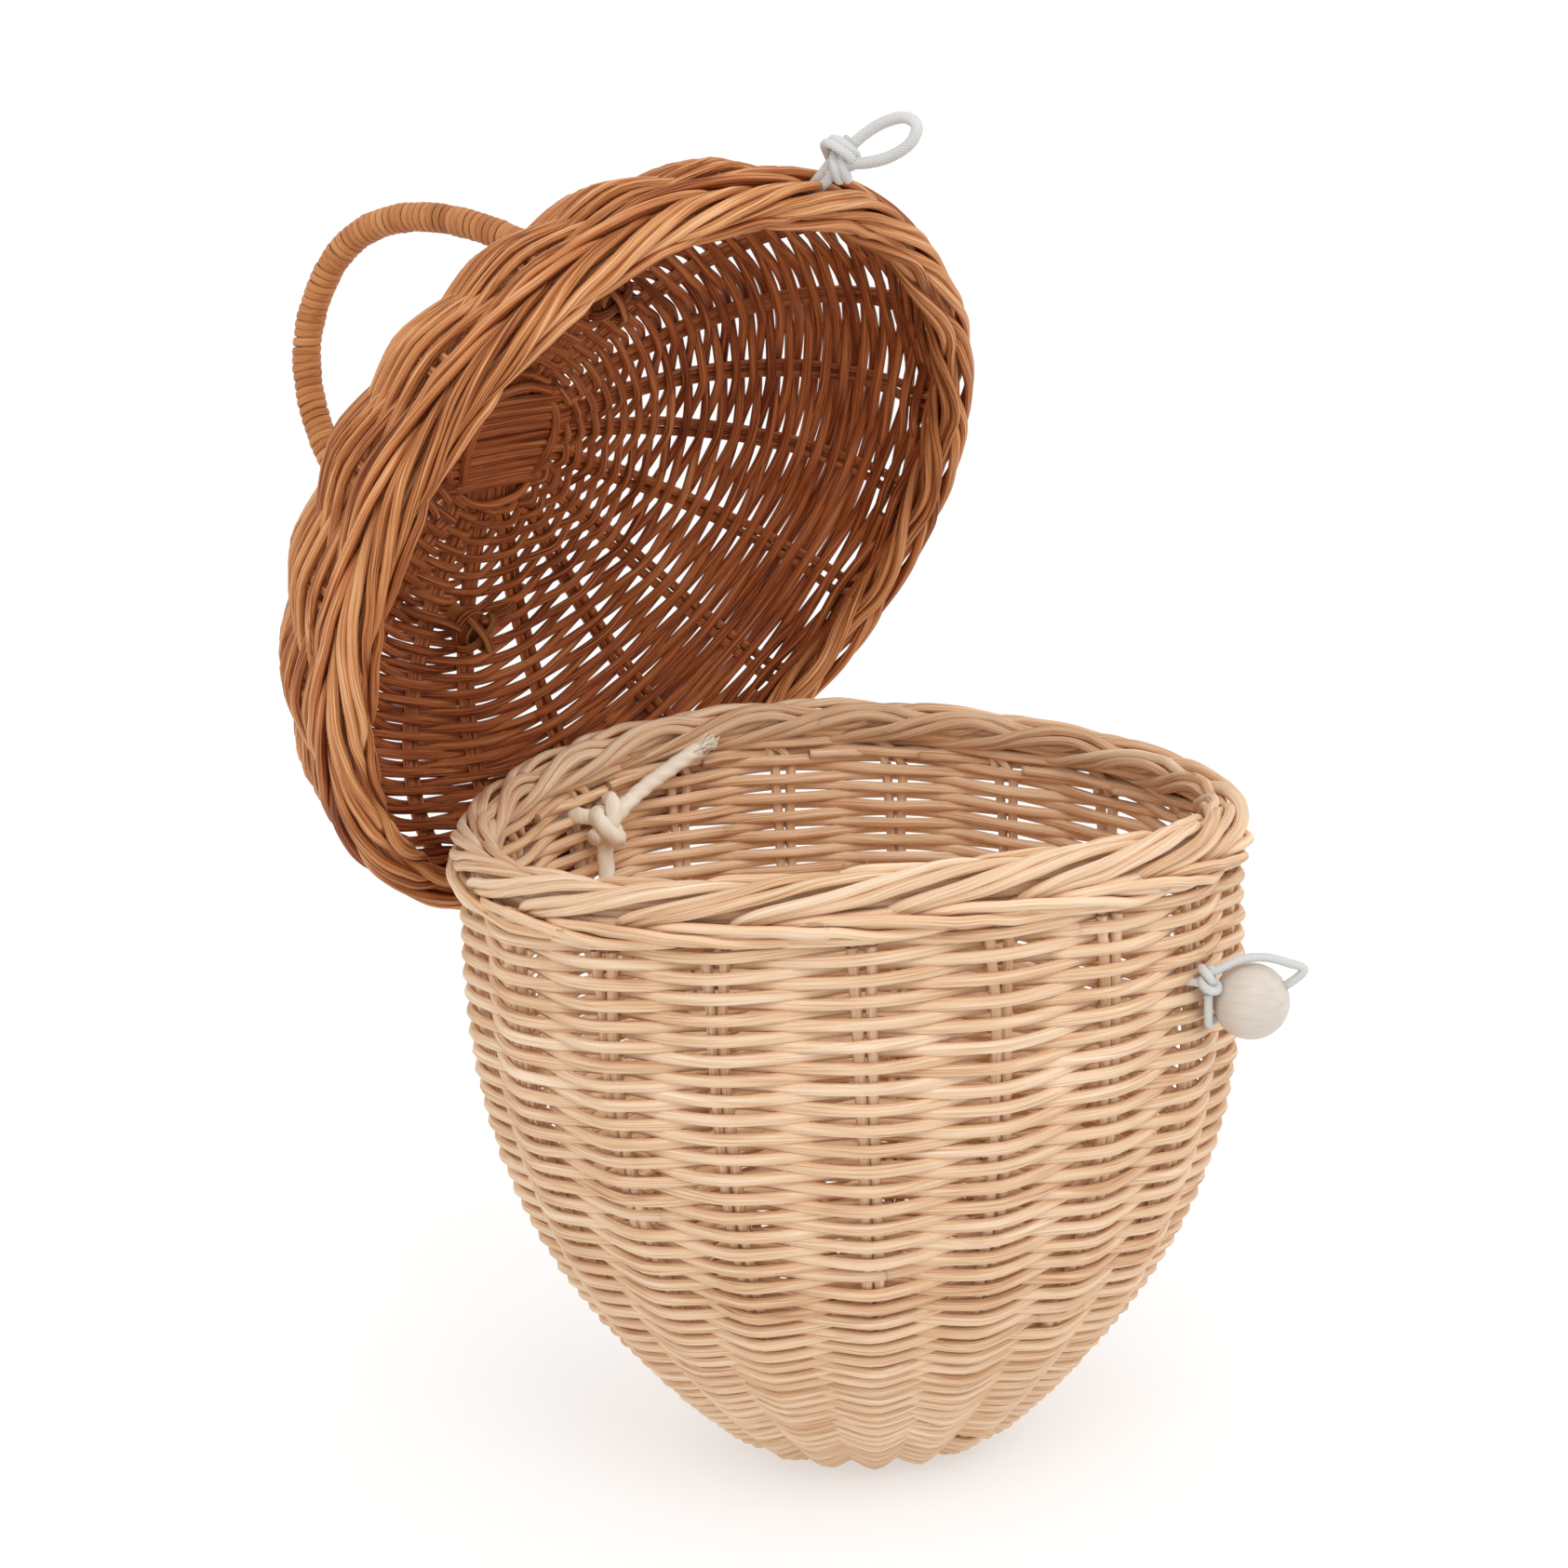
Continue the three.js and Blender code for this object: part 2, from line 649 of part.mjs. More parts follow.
// Hinge tie: out through the wall, down round the lid's border, in through the dome and back
const lidOut = new THREE.Vector2(Math.cos(lidOpenAngle), -Math.sin(lidOpenAngle));
const lidUp = new THREE.Vector2(Math.sin(lidOpenAngle), Math.cos(lidOpenAngle));

function openLidPoint(sideways, out, lift) {
  const point = openBack.clone().addScaledVector(lidOut, out).addScaledVector(lidUp, lift);
  return new THREE.Vector3(sideways, point.x, point.y);
}

function borderTurnPoint(angle) {
  const reach = Math.max(lidBorderHalfWidth, lidBorderHalfHeight) + tieRadius + tieSlack;
  return new THREE.Vector3(
    tieSideways,
    openBack.x + reach * Math.cos(angle),
    openBack.y + reach * Math.sin(angle),
  );
}

const domeOffset = domeAtTie - lidBorderRadius;
const tieOutside = bellyRadius + tieRadius + tieSlack;
const tieInside = basketStakeInside - 2 * fitGap;
const tieKnotMiddle = new THREE.Vector3(0, basketStakeInside - fitGap - tieKnotRadius, tieHeight - 3);
const tieInnerBend = domeOffset - lidStakeDepth - caneRadius - tieRadius - tieSlack;
const tieHalf = [
  new THREE.Vector3(tieSideways, tieInside, tieHeight),
  new THREE.Vector3(tieSideways, bellyRadius, tieHeight),
  new THREE.Vector3(tieSideways, tieOutside + tieSlack, tieHeight - 1.6 * tieRadius),
  new THREE.Vector3(tieSideways, tieOutside, (tieHeight + openBack.y) / 2),
  borderTurnPoint(Math.PI),
  borderTurnPoint(1.25 * Math.PI),
  borderTurnPoint(1.5 * Math.PI),
  borderTurnPoint(1.75 * Math.PI),
  openLidPoint(tieSideways, domeOffset + tieRadius + 3 * tieSlack, tieHoleLift - 1.5 * tieRadius),
  openLidPoint(tieSideways, domeOffset + tieRadius, tieHoleLift),
  openLidPoint(tieSideways, domeOffset - lidStakeDepth - caneRadius, tieHoleLift),
  openLidPoint(0.6 * tieSideways, tieInnerBend, tieHoleLift),
];
const tieOther = tieHalf.map((point) => new THREE.Vector3(-point.x, point.y, point.z)).reverse();
addMesh(group, 'hinge_tie', tube(tieHalf.concat(tieOther), tieRadius, 8, 52, alongX), cotton, 0.9);

const tieKnot = knotGeometry(tieKnotRadius, tieRadius, tieKnotRadius + fitGap);
tieKnot.translate(tieKnotMiddle.x, tieKnotMiddle.y, tieKnotMiddle.z);
addMesh(group, 'tie_knot', tieKnot, cotton, 0.9);

// The tail lies along the inside of the wall and ends below the border
const tailRadius = basketBorderRadius - basketBorderHalfWidth - tieRadius - 2 * fitGap;
const tailPoints = [0.4, 0.7, 1].map((share) => {
  const angle = Math.PI - (share * tieTailReach) / tailRadius;
  return around(tailRadius, angle, tieKnotMiddle.z + share * tieTailRise);
});
const tailWay = tailPoints[0].clone().sub(tieKnotMiddle).normalize();
tailPoints.unshift(tieKnotMiddle.clone().addScaledVector(tailWay, tieKnotRadius + fitGap));
addMesh(group, 'tie_tail', tube(tailPoints, tieRadius, 8, 12, up), cotton, 0.9);

const endTop = tieKnotMiddle.clone();
endTop.z -= tieKnotRadius + 2 * fitGap;
const endPoints = [0, 0.5, 1].map((share) => endTop.clone().setZ(endTop.z - share * tieEndLength));
endPoints[1].x -= tieRadius / 2;
addMesh(group, 'tie_end', tube(endPoints, tieRadius, 8, 10, alongX), cotton, 0.9);

// Bead: its knot sits outside the wall on a stem that goes through it
const beadKnotMiddle = around(bellyRadius + fitGap + beadKnotRadius, beadHoleAngle, beadKnotHeight);
const beadOut = around(1, beadHoleAngle, 0);
const beadSide = new THREE.Vector3(Math.cos(beadHoleAngle), Math.sin(beadHoleAngle), 0);
const beadStem = beadKnotMiddle.clone().dot(beadOut) - basketStakeInside;
const beadKnot = pointed(knotGeometry(beadKnotRadius, beadCordRadius, beadStem), beadOut, beadKnotMiddle);
addMesh(group, 'bead_knot', beadKnot, elasticWhite, 0.8);

const beadMiddle = beadKnotMiddle.clone();
beadMiddle.addScaledVector(beadSide, beadSideways);
beadMiddle.z -= beadDrop;
const beadReach = Math.hypot(beadMiddle.x, beadMiddle.y);
const beadLean = (bellyRadius + beadRadius + tieSlack) / beadReach;
beadMiddle.x *= beadLean;
beadMiddle.y *= beadLean;
const boreAxis = beadSide.clone().multiplyScalar(Math.cos(beadSwivel) * Math.cos(beadTilt));
boreAxis.addScaledVector(beadOut, Math.sin(beadSwivel) * Math.cos(beadTilt));
boreAxis.addScaledVector(up, Math.sin(beadTilt));

const beadProfile = [];
const beadFirst = Math.asin(beadBoreRadius / beadRadius);
for (let step = 0; step <= 10; step += 1) {
  const angle = beadFirst + ((Math.PI - 2 * beadFirst) * step) / 10;
  beadProfile.push([beadRadius * Math.sin(angle), -beadRadius * Math.cos(angle)]);
}
const bead = pointed(revolve(beadProfile, 20, true), boreAxis, beadMiddle);
addMesh(group, 'bead', bead, beadWood, 0.45);

// Its cord goes from the knot over the bead, through the bore and back to the knot
const cordClear = beadRadius + beadCordRadius + fitGap;
function beadPoint(sideways, out, lift) {
  return beadMiddle.clone()
    .addScaledVector(beadSide, sideways * cordClear)
    .addScaledVector(beadOut, out * cordClear)
    .addScaledVector(up, lift * cordClear);
}
const knotReach = beadKnotRadius + beadCordRadius + fitGap;
const beadCordPoints = [
  beadKnotMiddle.clone().addScaledVector(up, 0.8 * knotReach).addScaledVector(beadSide, 0.6 * knotReach),
  beadPoint(-0.3, -0.1, 1.03),
  beadPoint(0.12, 0.32, 1.03),
  beadPoint(0.42, 0.72, 0.88),
  beadPoint(0.62, 1.02, 0.72),
  beadMiddle.clone().addScaledVector(boreAxis, 1.12 * beadRadius),
  beadMiddle.clone().addScaledVector(boreAxis, 0.6 * beadRadius),
  beadMiddle.clone().addScaledVector(boreAxis, -0.9 * beadRadius),
  beadPoint(-0.7, -0.68, -0.45),
  beadPoint(-0.85, -0.62, -0.2),
  beadKnotMiddle.clone().addScaledVector(up, -knotReach),
];
addMesh(group, 'bead_cord', tube(beadCordPoints, beadCordRadius, 8, 44, beadSide), elasticWhite, 0.8);

export default group;
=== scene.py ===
import math
import bpy
import numpy as np
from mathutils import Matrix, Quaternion, Vector


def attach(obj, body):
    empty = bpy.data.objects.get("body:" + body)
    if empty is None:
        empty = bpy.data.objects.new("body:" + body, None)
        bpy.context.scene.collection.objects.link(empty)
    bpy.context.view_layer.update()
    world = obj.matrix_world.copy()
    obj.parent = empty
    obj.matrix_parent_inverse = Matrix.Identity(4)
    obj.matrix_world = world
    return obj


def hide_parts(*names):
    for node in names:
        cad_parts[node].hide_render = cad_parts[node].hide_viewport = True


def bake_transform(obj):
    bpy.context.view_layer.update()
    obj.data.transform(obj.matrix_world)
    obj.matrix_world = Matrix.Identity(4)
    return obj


# Acorn basket of woven cane with a lid tied on at the back. Everything is worked out in millimetres in the
# part's frame and scaled when a mesh is made. Angles run from the front (-Y) towards +X.

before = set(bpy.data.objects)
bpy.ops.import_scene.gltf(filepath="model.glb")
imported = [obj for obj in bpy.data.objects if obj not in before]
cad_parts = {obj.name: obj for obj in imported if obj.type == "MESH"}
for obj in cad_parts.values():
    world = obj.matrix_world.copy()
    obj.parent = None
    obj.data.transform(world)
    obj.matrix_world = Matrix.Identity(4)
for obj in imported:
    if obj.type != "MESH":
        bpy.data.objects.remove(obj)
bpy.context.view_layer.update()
scene = bpy.context.scene
scene.view_settings.view_transform = "Standard"
mm = 0.001  # in metres
white = (1, 1, 1, 1)


# inputs of a shader node, each from a socket or a plain value
def setInputs(tree, made, values):
    for socket, value in values.items():
        if isinstance(value, bpy.types.NodeSocket):
            tree.links.new(value, made.inputs[socket])
        else:
            made.inputs[socket].default_value = value


def node(tree, kind, values=None, **settings):
    made = tree.nodes.new("ShaderNode" + kind)
    for key, value in settings.items():
        setattr(made, key, value)
    setInputs(tree, made, values or {})
    return made


def maths(tree, operation, a, b=0.0, clamp=False):
    return node(tree, "Math", {0: a, 1: b}, operation=operation, use_clamp=clamp).outputs[0]


def mix(tree, share, first, second, blend="MIX"):
    values = {"Fac": share, "Color1": first, "Color2": second}
    return node(tree, "MixRGB", values, blend_type=blend).outputs[0]


def noise(tree, vector, scale, detail, rough=0.5):
    values = {"Vector": vector, "Scale": scale, "Detail": detail, "Roughness": rough}
    return node(tree, "TexNoise", values).outputs["Fac"]


def bump(tree, height, strength):
    values = {"Height": height, "Strength": strength, "Distance": 0.3 * mm}
    return node(tree, "Bump", values).outputs["Normal"]


def attribute(tree, name):
    return node(tree, "Attribute", attribute_name=name, attribute_type="GEOMETRY").outputs["Fac"]


# X is the length along a strand in mm, Y the turn round it
def strandPlace(tree):
    uv = node(tree, "UVMap", uv_map="strand").outputs["UV"]
    return node(tree, "SeparateXYZ", {0: uv}).outputs


# linear colour of a screen colour
def tint(r, g, b):
    c = np.array([r, g, b]) / 255
    linear = np.where(c <= 0.04045, c / 12.92, ((c + 0.055) / 1.055) ** 2.4)
    return (*(float(x) for x in linear), 1.0)


# colour ramp through places and screen colours, the first at 0 and the last at 1
def ramp(tree, value, stops):
    made = node(tree, "ValToRGB", {"Fac": value})
    elements = made.color_ramp.elements
    elements[0].color, elements[1].color = tint(*stops[0][1]), tint(*stops[-1][1])
    for place, colour in stops[1:-1]:
        elements.new(place).color = tint(*colour)
    return made.outputs["Color"]


def newPaint(name):
    paint = bpy.data.materials.new(name)
    paint.use_nodes = True
    return paint, paint.node_tree, paint.node_tree.nodes["Principled BSDF"]


# a camera or a lamp at a place, turned towards an aim and rolled
def setUp(name, data, place, aim, roll=0.0):
    obj = bpy.data.objects.new(name, data)
    obj.location = place
    obj.rotation_mode = "QUATERNION"
    facing = (Vector(aim) - Vector(place)).to_track_quat("-Z", "Y")
    obj.rotation_quaternion = facing @ Quaternion((0, 0, 1), math.radians(roll))
    scene.collection.objects.link(obj)
    return obj


view = {
    "place": (-0.63537, -0.57209, 0.36610), "aim": (0.00568, 0.02620, 0.16336),
    "roll": -2.465, "lens": 82.1, "sensor": 36,
}
camData = bpy.data.cameras.new("camera")
camData.lens = view["lens"]
camData.sensor_width = view["sensor"]
scene.camera = setUp("camera", camData, view["place"], view["aim"], view["roll"])

# soft studio: white all round, a large key from the camera's left, a weak fill,
# a pale floor that glows a little
studio = {"ambient": 1.05, "floor": 0.5, "glow": 0.5, "half floor": 40, "lamp aim": (0, 0, 0.15)}
lamps = {
    "key": {"place": (-0.55, -0.75, 1.2), "size": 0.8, "power": 4.6},
    "fill": {"place": (0.95, -0.6, 0.7), "size": 0.9, "power": 1.6},
}
for name, look in lamps.items():
    data = bpy.data.lights.new(name, "AREA")
    data.shape = "DISK"
    data.size = look["size"]
    data.energy = look["power"]
    setUp(name, data, look["place"], studio["lamp aim"])

# the ambient strength lights the object, while the camera sees plain white
world = bpy.data.worlds.new("studio")
scene.world = world
world.use_nodes = True
sky = world.node_tree
sky.nodes.clear()
rays = node(sky, "LightPath").outputs
seen = maths(sky, "MAXIMUM", rays["Is Camera Ray"], rays["Is Transmission Ray"])
soft = node(sky, "Background", {"Color": white, "Strength": studio["ambient"]})
plain = node(sky, "Background", {"Color": white, "Strength": 1.0})
either = node(sky, "MixShader", {"Fac": seen, 1: soft.outputs[0], 2: plain.outputs[0]})
node(sky, "OutputWorld", {"Surface": either.outputs[0]})

edge = studio["half floor"]
corners = [(-edge, -edge, 0), (edge, -edge, 0), (edge, edge, 0), (-edge, edge, 0)]
floorMesh = bpy.data.meshes.new("floor")
floorMesh.from_pydata(corners, [], [(0, 1, 2, 3)])
floor = bpy.data.objects.new("floor", floorMesh)
scene.collection.objects.link(floor)
floorPaint, tree, shader = newPaint("floor paint")
setInputs(tree, shader, {
    "Base Color": (studio["floor"], studio["floor"], studio["floor"], 1),
    "Emission Color": white, "Emission Strength": studio["glow"],
    "Roughness": 0.9, "Specular IOR Level": 0.1,
})
floorMesh.materials.append(floorPaint)
print("stage: camera, light and floor")


def unit(v):
    return v / np.maximum(np.linalg.norm(v, axis=-1, keepdims=True), 1e-9)


def smoothstep(low, high, x):
    t = np.clip((x - low) / (high - low), 0, 1)
    return t * t * (3 - 2 * t)


# point at a radius, an angle and a height
def around(radius, angle, height):
    radius, angle, height = np.broadcast_arrays(radius, angle, height)
    return np.stack([radius * np.sin(angle), -radius * np.cos(angle), height], -1)


# direction along a circle at an angle
def sideways(angle):
    return np.stack([np.cos(angle), np.sin(angle), 0 * np.asarray(angle)], -1)


# smooth random line: four sines whose lengths are shares of the scale, each with a random phase
def wander(x, scale, seed):
    phase = np.random.default_rng(seed).uniform(0, 2 * np.pi, 4)
    return sum(np.sin(2 * np.pi * x * m / scale + p) / m for m, p in zip((1, 1.7, 2.9, 4.3), phase)) / 1.6


# the same round the object: the sines run along slanted directions of the angle's circle and the height
def wanderRound(angle, height, scale, seed):
    draw = np.random.default_rng(seed)
    total = 0
    for m in (1, 1.5, 2.2, 3.1):
        a, b, c, p = draw.uniform(-1, 1, 4)
        slant = a * np.sin(angle) + b * np.cos(angle) + c * height / scale
        total = total + np.sin(2 * np.pi * (m * slant + p)) / m
    return total / 1.6


def lengthAlong(path):
    return np.r_[0, np.cumsum(np.linalg.norm(np.diff(path, axis=0), axis=1))]


def sampled(at, length, path):
    return np.stack([np.interp(at, length, column) for column in path.T], -1)


# the path at even steps
def evenly(path, step):
    length = lengthAlong(path)
    at = np.linspace(0, length[-1], max(3, int(round(length[-1] / step)) + 1))
    return sampled(at, length, path)


# each point moved towards the middle of its neighbours, ends held
def smoothed(path, rounds):
    path = path.copy()
    for _ in range(rounds):
        path[1:-1] += 0.25 * (path[:-2] - 2 * path[1:-1] + path[2:])
    return path


# moves of points that push one another away where a pair is nearer than gap
def pushedApart(p, pairs, gap, tiny):
    away = p[..., :, None, :] - p[..., None, :, :]
    far = np.linalg.norm(away, axis=-1) + tiny
    push = np.where(pairs, np.maximum(0, gap - far) / far, 0)
    return np.sum(away * push[..., None], -2)


# smooth path through points: cubic pieces whose slope at a point is half the way between its neighbours
def through(points, step):
    p = np.asarray(points, float)
    p = np.vstack([2 * p[0] - p[1], p, 2 * p[-1] - p[-2]])
    t = np.linspace(0, 1, 20, endpoint=False)[:, None]
    a, b, c, d = p[:-3, None], p[1:-2, None], p[2:-1, None], p[3:, None]
    second, third = 2 * a - 5 * b + 4 * c - d, 3 * b - a - 3 * c + d
    curve = 0.5 * (2 * b + (c - a) * t + second * t ** 2 + third * t ** 3)
    return evenly(np.vstack([curve.reshape(-1, p.shape[1]), p[-2]]), step)


# side directions carried along a path without twist
def carried(path, first):
    along = unit(np.gradient(path, axis=0))
    sides = np.empty_like(path)
    side = np.asarray(first, float)
    for i, t in enumerate(along):
        side = unit(side - t * (side @ t))
        sides[i] = side
    return sides


# oval rings square to a path. side is the oval's first axis and flat the share of the second;
# inward is 1 where the surface faces away from the normal
def strand(path, side, radius, sides=8, flat=1.0, tone=0.5, start=0.0, normal=None):
    along = unit(np.gradient(path, axis=0))
    a = unit(side - along * np.sum(side * along, 1, keepdims=True))
    b = np.cross(along, a)
    turn = np.linspace(0, 2 * np.pi, sides, endpoint=False)[:, None]
    offset = np.cos(turn) * a[:, None] + flat * np.sin(turn) * b[:, None]
    radius = np.broadcast_to(np.asarray(radius, float), (len(path),))
    inward = np.zeros((len(path), sides))
    if normal is not None:
        inward = 0.5 - 0.5 * np.sum(unit(offset) * normal[:, None], -1)
    return {
        "rings": path[:, None] + radius[:, None, None] * offset,
        "length": lengthAlong(path) + start,
        "tone": np.broadcast_to(np.asarray(tone, float), (len(path),)),
        "inward": inward,
    }


# one mesh from many strands: quads along each, a face at each end, length and turn as UV,
# tone, inward and cut as attributes
def strandMesh(name, strands, paint, place):
    corners, sizes, uvs, cuts = [], [], [], []
    base = 0
    for s in strands:
        n, m = s["rings"].shape[:2]
        index = base + np.arange(n * m).reshape(n, m)
        base += n * m
        low, high = index[:-1], index[1:]
        quads = np.stack([low, np.roll(low, -1, 1), np.roll(high, -1, 1), high], -1)
        u = np.broadcast_to(s["length"][:, None], (n, m))
        v = np.broadcast_to(np.arange(m) / m, (n, m))
        w = v + 1 / m
        ways = ((u[:-1], v[:-1]), (u[:-1], w[:-1]), (u[1:], w[1:]), (u[1:], v[1:]))
        corners.append(quads.ravel())
        sizes.append(np.full((n - 1) * m, 4))
        uvs.append(np.stack([np.stack(way, -1) for way in ways], 2).reshape(-1, 2))
        cuts.append(np.zeros((n - 1) * m))
        if not s.get("open"):
            turn = 2 * np.pi * np.arange(m) / m
            end = np.stack([np.cos(turn), np.sin(turn)], -1)
            corners += [index[0][::-1], index[-1]]
            sizes += [[m], [m]]
            uvs += [end, end]
            cuts += [[1], [1]]
    points = np.vstack([s["rings"].reshape(-1, 3) for s in strands])
    points = place(points) if place else points
    sizes = np.concatenate(sizes).astype(np.int32)
    mesh = bpy.data.meshes.new(name)
    mesh.vertices.add(len(points))
    mesh.vertices.foreach_set("co", (points * mm).astype(np.float32).ravel())
    mesh.loops.add(int(sizes.sum()))
    mesh.loops.foreach_set("vertex_index", np.concatenate(corners).astype(np.int32))
    mesh.polygons.add(len(sizes))
    mesh.polygons.foreach_set("loop_start", np.r_[0, np.cumsum(sizes)[:-1]].astype(np.int32))
    mesh.uv_layers.new(name="strand").data.foreach_set("uv", np.vstack(uvs).astype(np.float32).ravel())
    tone = np.concatenate([np.repeat(s["tone"], s["rings"].shape[1]) for s in strands])
    inward = np.concatenate([s["inward"].ravel() for s in strands])
    cut = np.concatenate(cuts)
    for label, values, domain in (("tone", tone, "POINT"), ("inward", inward, "POINT"), ("cut", cut, "FACE")):
        mesh.attributes.new(label, "FLOAT", domain).data.foreach_set("value", values.astype(np.float32))
    mesh.update(calc_edges=True)
    mesh.polygons.foreach_set("use_smooth", np.full(len(sizes), True))
    mesh.materials.append(paint)
    obj = bpy.data.objects.new(name, mesh)
    scene.collection.objects.link(obj)
    return obj


# a mesh told which solids it shows and the body that carries it; its slot is not used
def addPiece(name, strands, paint, place, body, slot, *nodes):
    obj = strandMesh(name, strands, paint, place)
    if nodes:
        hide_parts(*nodes)
    if body:
        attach(obj, body)
    return obj


# a piece of the basket or the lid
def addWoven(look, label, strands, slot, *nodes):
    addPiece(f"{look['name']}_{label}", strands, look["paint"], look["place"], look["name"], slot, *nodes)


# how a strand's fibre runs, as values: long streaks, fine fibres, patches over the object.
# The noise is read at the length times long and at a circle of the size fine
def fibreGroup():
    tree = bpy.data.node_groups.new("cane fibre", "ShaderNodeTree")
    for label in ("Streak", "Fibre", "Patch"):
        tree.interface.new_socket(label, in_out="OUTPUT", socket_type="NodeSocketFloat")
    out = tree.nodes.new("NodeGroupOutput")
    place = strandPlace(tree)
    turn = maths(tree, "MULTIPLY", place["Y"], 2 * math.pi)
    across, aside = maths(tree, "COSINE", turn), maths(tree, "SINE", turn)
    shift = maths(tree, "MULTIPLY", attribute(tree, "tone"), 61.0)  # parts canes of different tone
    for label, long, fine, detail in (("Streak", 0.03, 1.4, 3.0), ("Fibre", 0.035, 3.2, 2.0)):
        spot = node(tree, "CombineXYZ", {
            0: maths(tree, "MULTIPLY", place["X"], long),
            1: maths(tree, "MULTIPLY", across, fine),
            2: maths(tree, "ADD", maths(tree, "MULTIPLY", aside, fine), shift),
        })
        tree.links.new(noise(tree, spot.outputs[0], 1.0, detail, 0.6), out.inputs[label])
    spread = node(tree, "TexCoord").outputs["Object"]
    tree.links.new(noise(tree, spread, 40.0, 3.0), out.inputs["Patch"])
    return tree


fibres = fibreGroup()


# cane or cord: the ramp is read at tone + streaks + patches + fibres, the inward side is multiplied by inner
# (painted light on the basket's inside, partly own colour and partly painted shade on the lid's), cut ends
# have their own colour
def fibreMaterial(name, look):
    paint, tree, shader = newPaint(name)
    fibre = node(tree, "Group", node_tree=fibres).outputs
    level = attribute(tree, "tone")
    for label in ("Streak", "Patch", "Fibre"):
        change = maths(tree, "SUBTRACT", fibre[label], 0.5)
        level = maths(tree, "ADD", level, maths(tree, "MULTIPLY", change, look[label.lower()]))
    colour = ramp(tree, level, look["stops"])
    # inward faces times inner: painted light inside the basket, painted shade together with the cane's own
    # colour inside the lid
    colour = mix(tree, attribute(tree, "inward"), colour, (*look["inner"], 1), "MULTIPLY")
    height = maths(tree, "ADD", fibre["Fibre"], maths(tree, "MULTIPLY", fibre["Streak"], 0.6))
    unevenGloss = 0.3
    gloss = maths(tree, "MULTIPLY", fibre["Fibre"], unevenGloss)
    setInputs(tree, shader, {
        "Base Color": mix(tree, attribute(tree, "cut"), colour, tint(*look["end"])),
        "Roughness": maths(tree, "ADD", gloss, look["rough"] - unevenGloss / 2),
        "Specular IOR Level": look["shine"],
        "Normal": bump(tree, height, look["bump"]),
    })
    return paint


strawLook = {
    "stops": [
        (0.0, (166, 118, 80)), (0.3, (204, 163, 126)), (0.55, (221, 188, 155)),
        (0.8, (230, 203, 174)), (1.0, (240, 220, 197)),
    ],
    # inner above 1 paints the faces that look into the basket lighter: painted light that lifts the shade
    # inside it
    "inner": (1.28, 1.24, 1.18), "end": (208, 172, 134),
    "streak": 0.6, "patch": 0.35, "fibre": 1.5, "rough": 0.66, "shine": 0.22, "bump": 1.0,
}
brownLook = {
    "stops": [
        (0.0, (104, 44, 12)), (0.3, (160, 95, 47)), (0.55, (192, 127, 74)),
        (0.8, (211, 151, 99)), (1.0, (228, 178, 130)),
    ],
    # inner darkens the faces that look into the lid: partly the cane's own darker inside, partly painted
    # shade
    "inner": (0.78, 0.5, 0.37), "end": (150, 96, 54),
    "streak": 1.1, "patch": 0.5, "fibre": 2.4, "rough": 0.58, "shine": 0.28, "bump": 1.0,
}
handleLook = {
    # end paints the handle's cut ends dark, the core's ends under the dome among them: painted shade
    **brownLook, "inner": (0.8, 0.7, 0.62), "end": (92, 46, 20),
    "streak": 0.5, "patch": 0.4, "fibre": 0.6, "rough": 0.5,
}
cottonLook = {
    "stops": [(0.0, (236, 220, 196)), (0.5, (252, 242, 223)), (1.0, (255, 251, 241))],
    "inner": (1.0, 1.0, 1.0), "end": (240, 229, 213),
    "streak": 0.3, "patch": 0.2, "fibre": 0.8, "rough": 0.95, "shine": 0.05, "bump": 0.5,
}
strawPaint = fibreMaterial("straw cane", strawLook)
brownPaint = fibreMaterial("brown cane", brownLook)
handlePaint = fibreMaterial("handle cane", handleLook)
cottonPaint = fibreMaterial("cotton cord", cottonLook)


# braided elastic: two sets of slanted ridges, height = |sin a| |sin b| with a and b turning opposite ways
# round the cord; the grooves between them are painted darker: painted shade
def elasticMaterial():
    look = {
        "ridge": (224, 224, 222), "shaded groove": (198, 197, 195), "contrast": 0.9,
        "ridges": 5.0, "pitch": 1.1, "rough": 0.6, "shine": 0.3, "bump": 0.5,
    }
    paint, tree, shader = newPaint("elastic cord")
    place = strandPlace(tree)
    long = maths(tree, "MULTIPLY", place["X"], math.pi / look["pitch"])
    turn = maths(tree, "MULTIPLY", place["Y"], math.pi * look["ridges"] * 2)
    slants = [maths(tree, "SINE", maths(tree, way, long, turn)) for way in ("ADD", "SUBTRACT")]
    height = maths(tree, "MULTIPLY", *(maths(tree, "ABSOLUTE", slant) for slant in slants))
    share = maths(tree, "MULTIPLY", height, look["contrast"], True)
    setInputs(tree, shader, {
        # grooves painted darker than ridges: painted shade
        "Base Color": mix(tree, share, tint(*look["shaded groove"]), tint(*look["ridge"])),
        "Roughness": look["rough"], "Specular IOR Level": look["shine"],
        "Normal": bump(tree, height, look["bump"]),
    })
    return paint


# pale turned wood: grain drawn out along one direction, dark where it passes a threshold
def beadMaterial():
    look = {
        "light": (205, 195, 184), "dark": (197, 184, 170), "rough": 0.42, "bump": 0.12,
        "grain": (260, 90, 900), "threshold": 0.42, "contrast": 3.0,
    }
    paint, tree, shader = newPaint("bead wood")
    spread = node(tree, "TexCoord").outputs["Object"]
    spread = node(tree, "Mapping", {"Vector": spread, "Scale": look["grain"]}).outputs[0]
    grain = noise(tree, spread, 1.0, 4.0, 0.6)
    share = maths(tree, "SUBTRACT", grain, look["threshold"], True)
    share = maths(tree, "MULTIPLY", share, look["contrast"], True)
    setInputs(tree, shader, {
        "Base Color": mix(tree, share, tint(*look["light"]), tint(*look["dark"])),
        "Roughness": look["rough"],
        "Normal": bump(tree, grain, look["bump"]),
    })
    return paint


elasticPaint = elasticMaterial()
beadPaint = beadMaterial()
print("stage: paints")


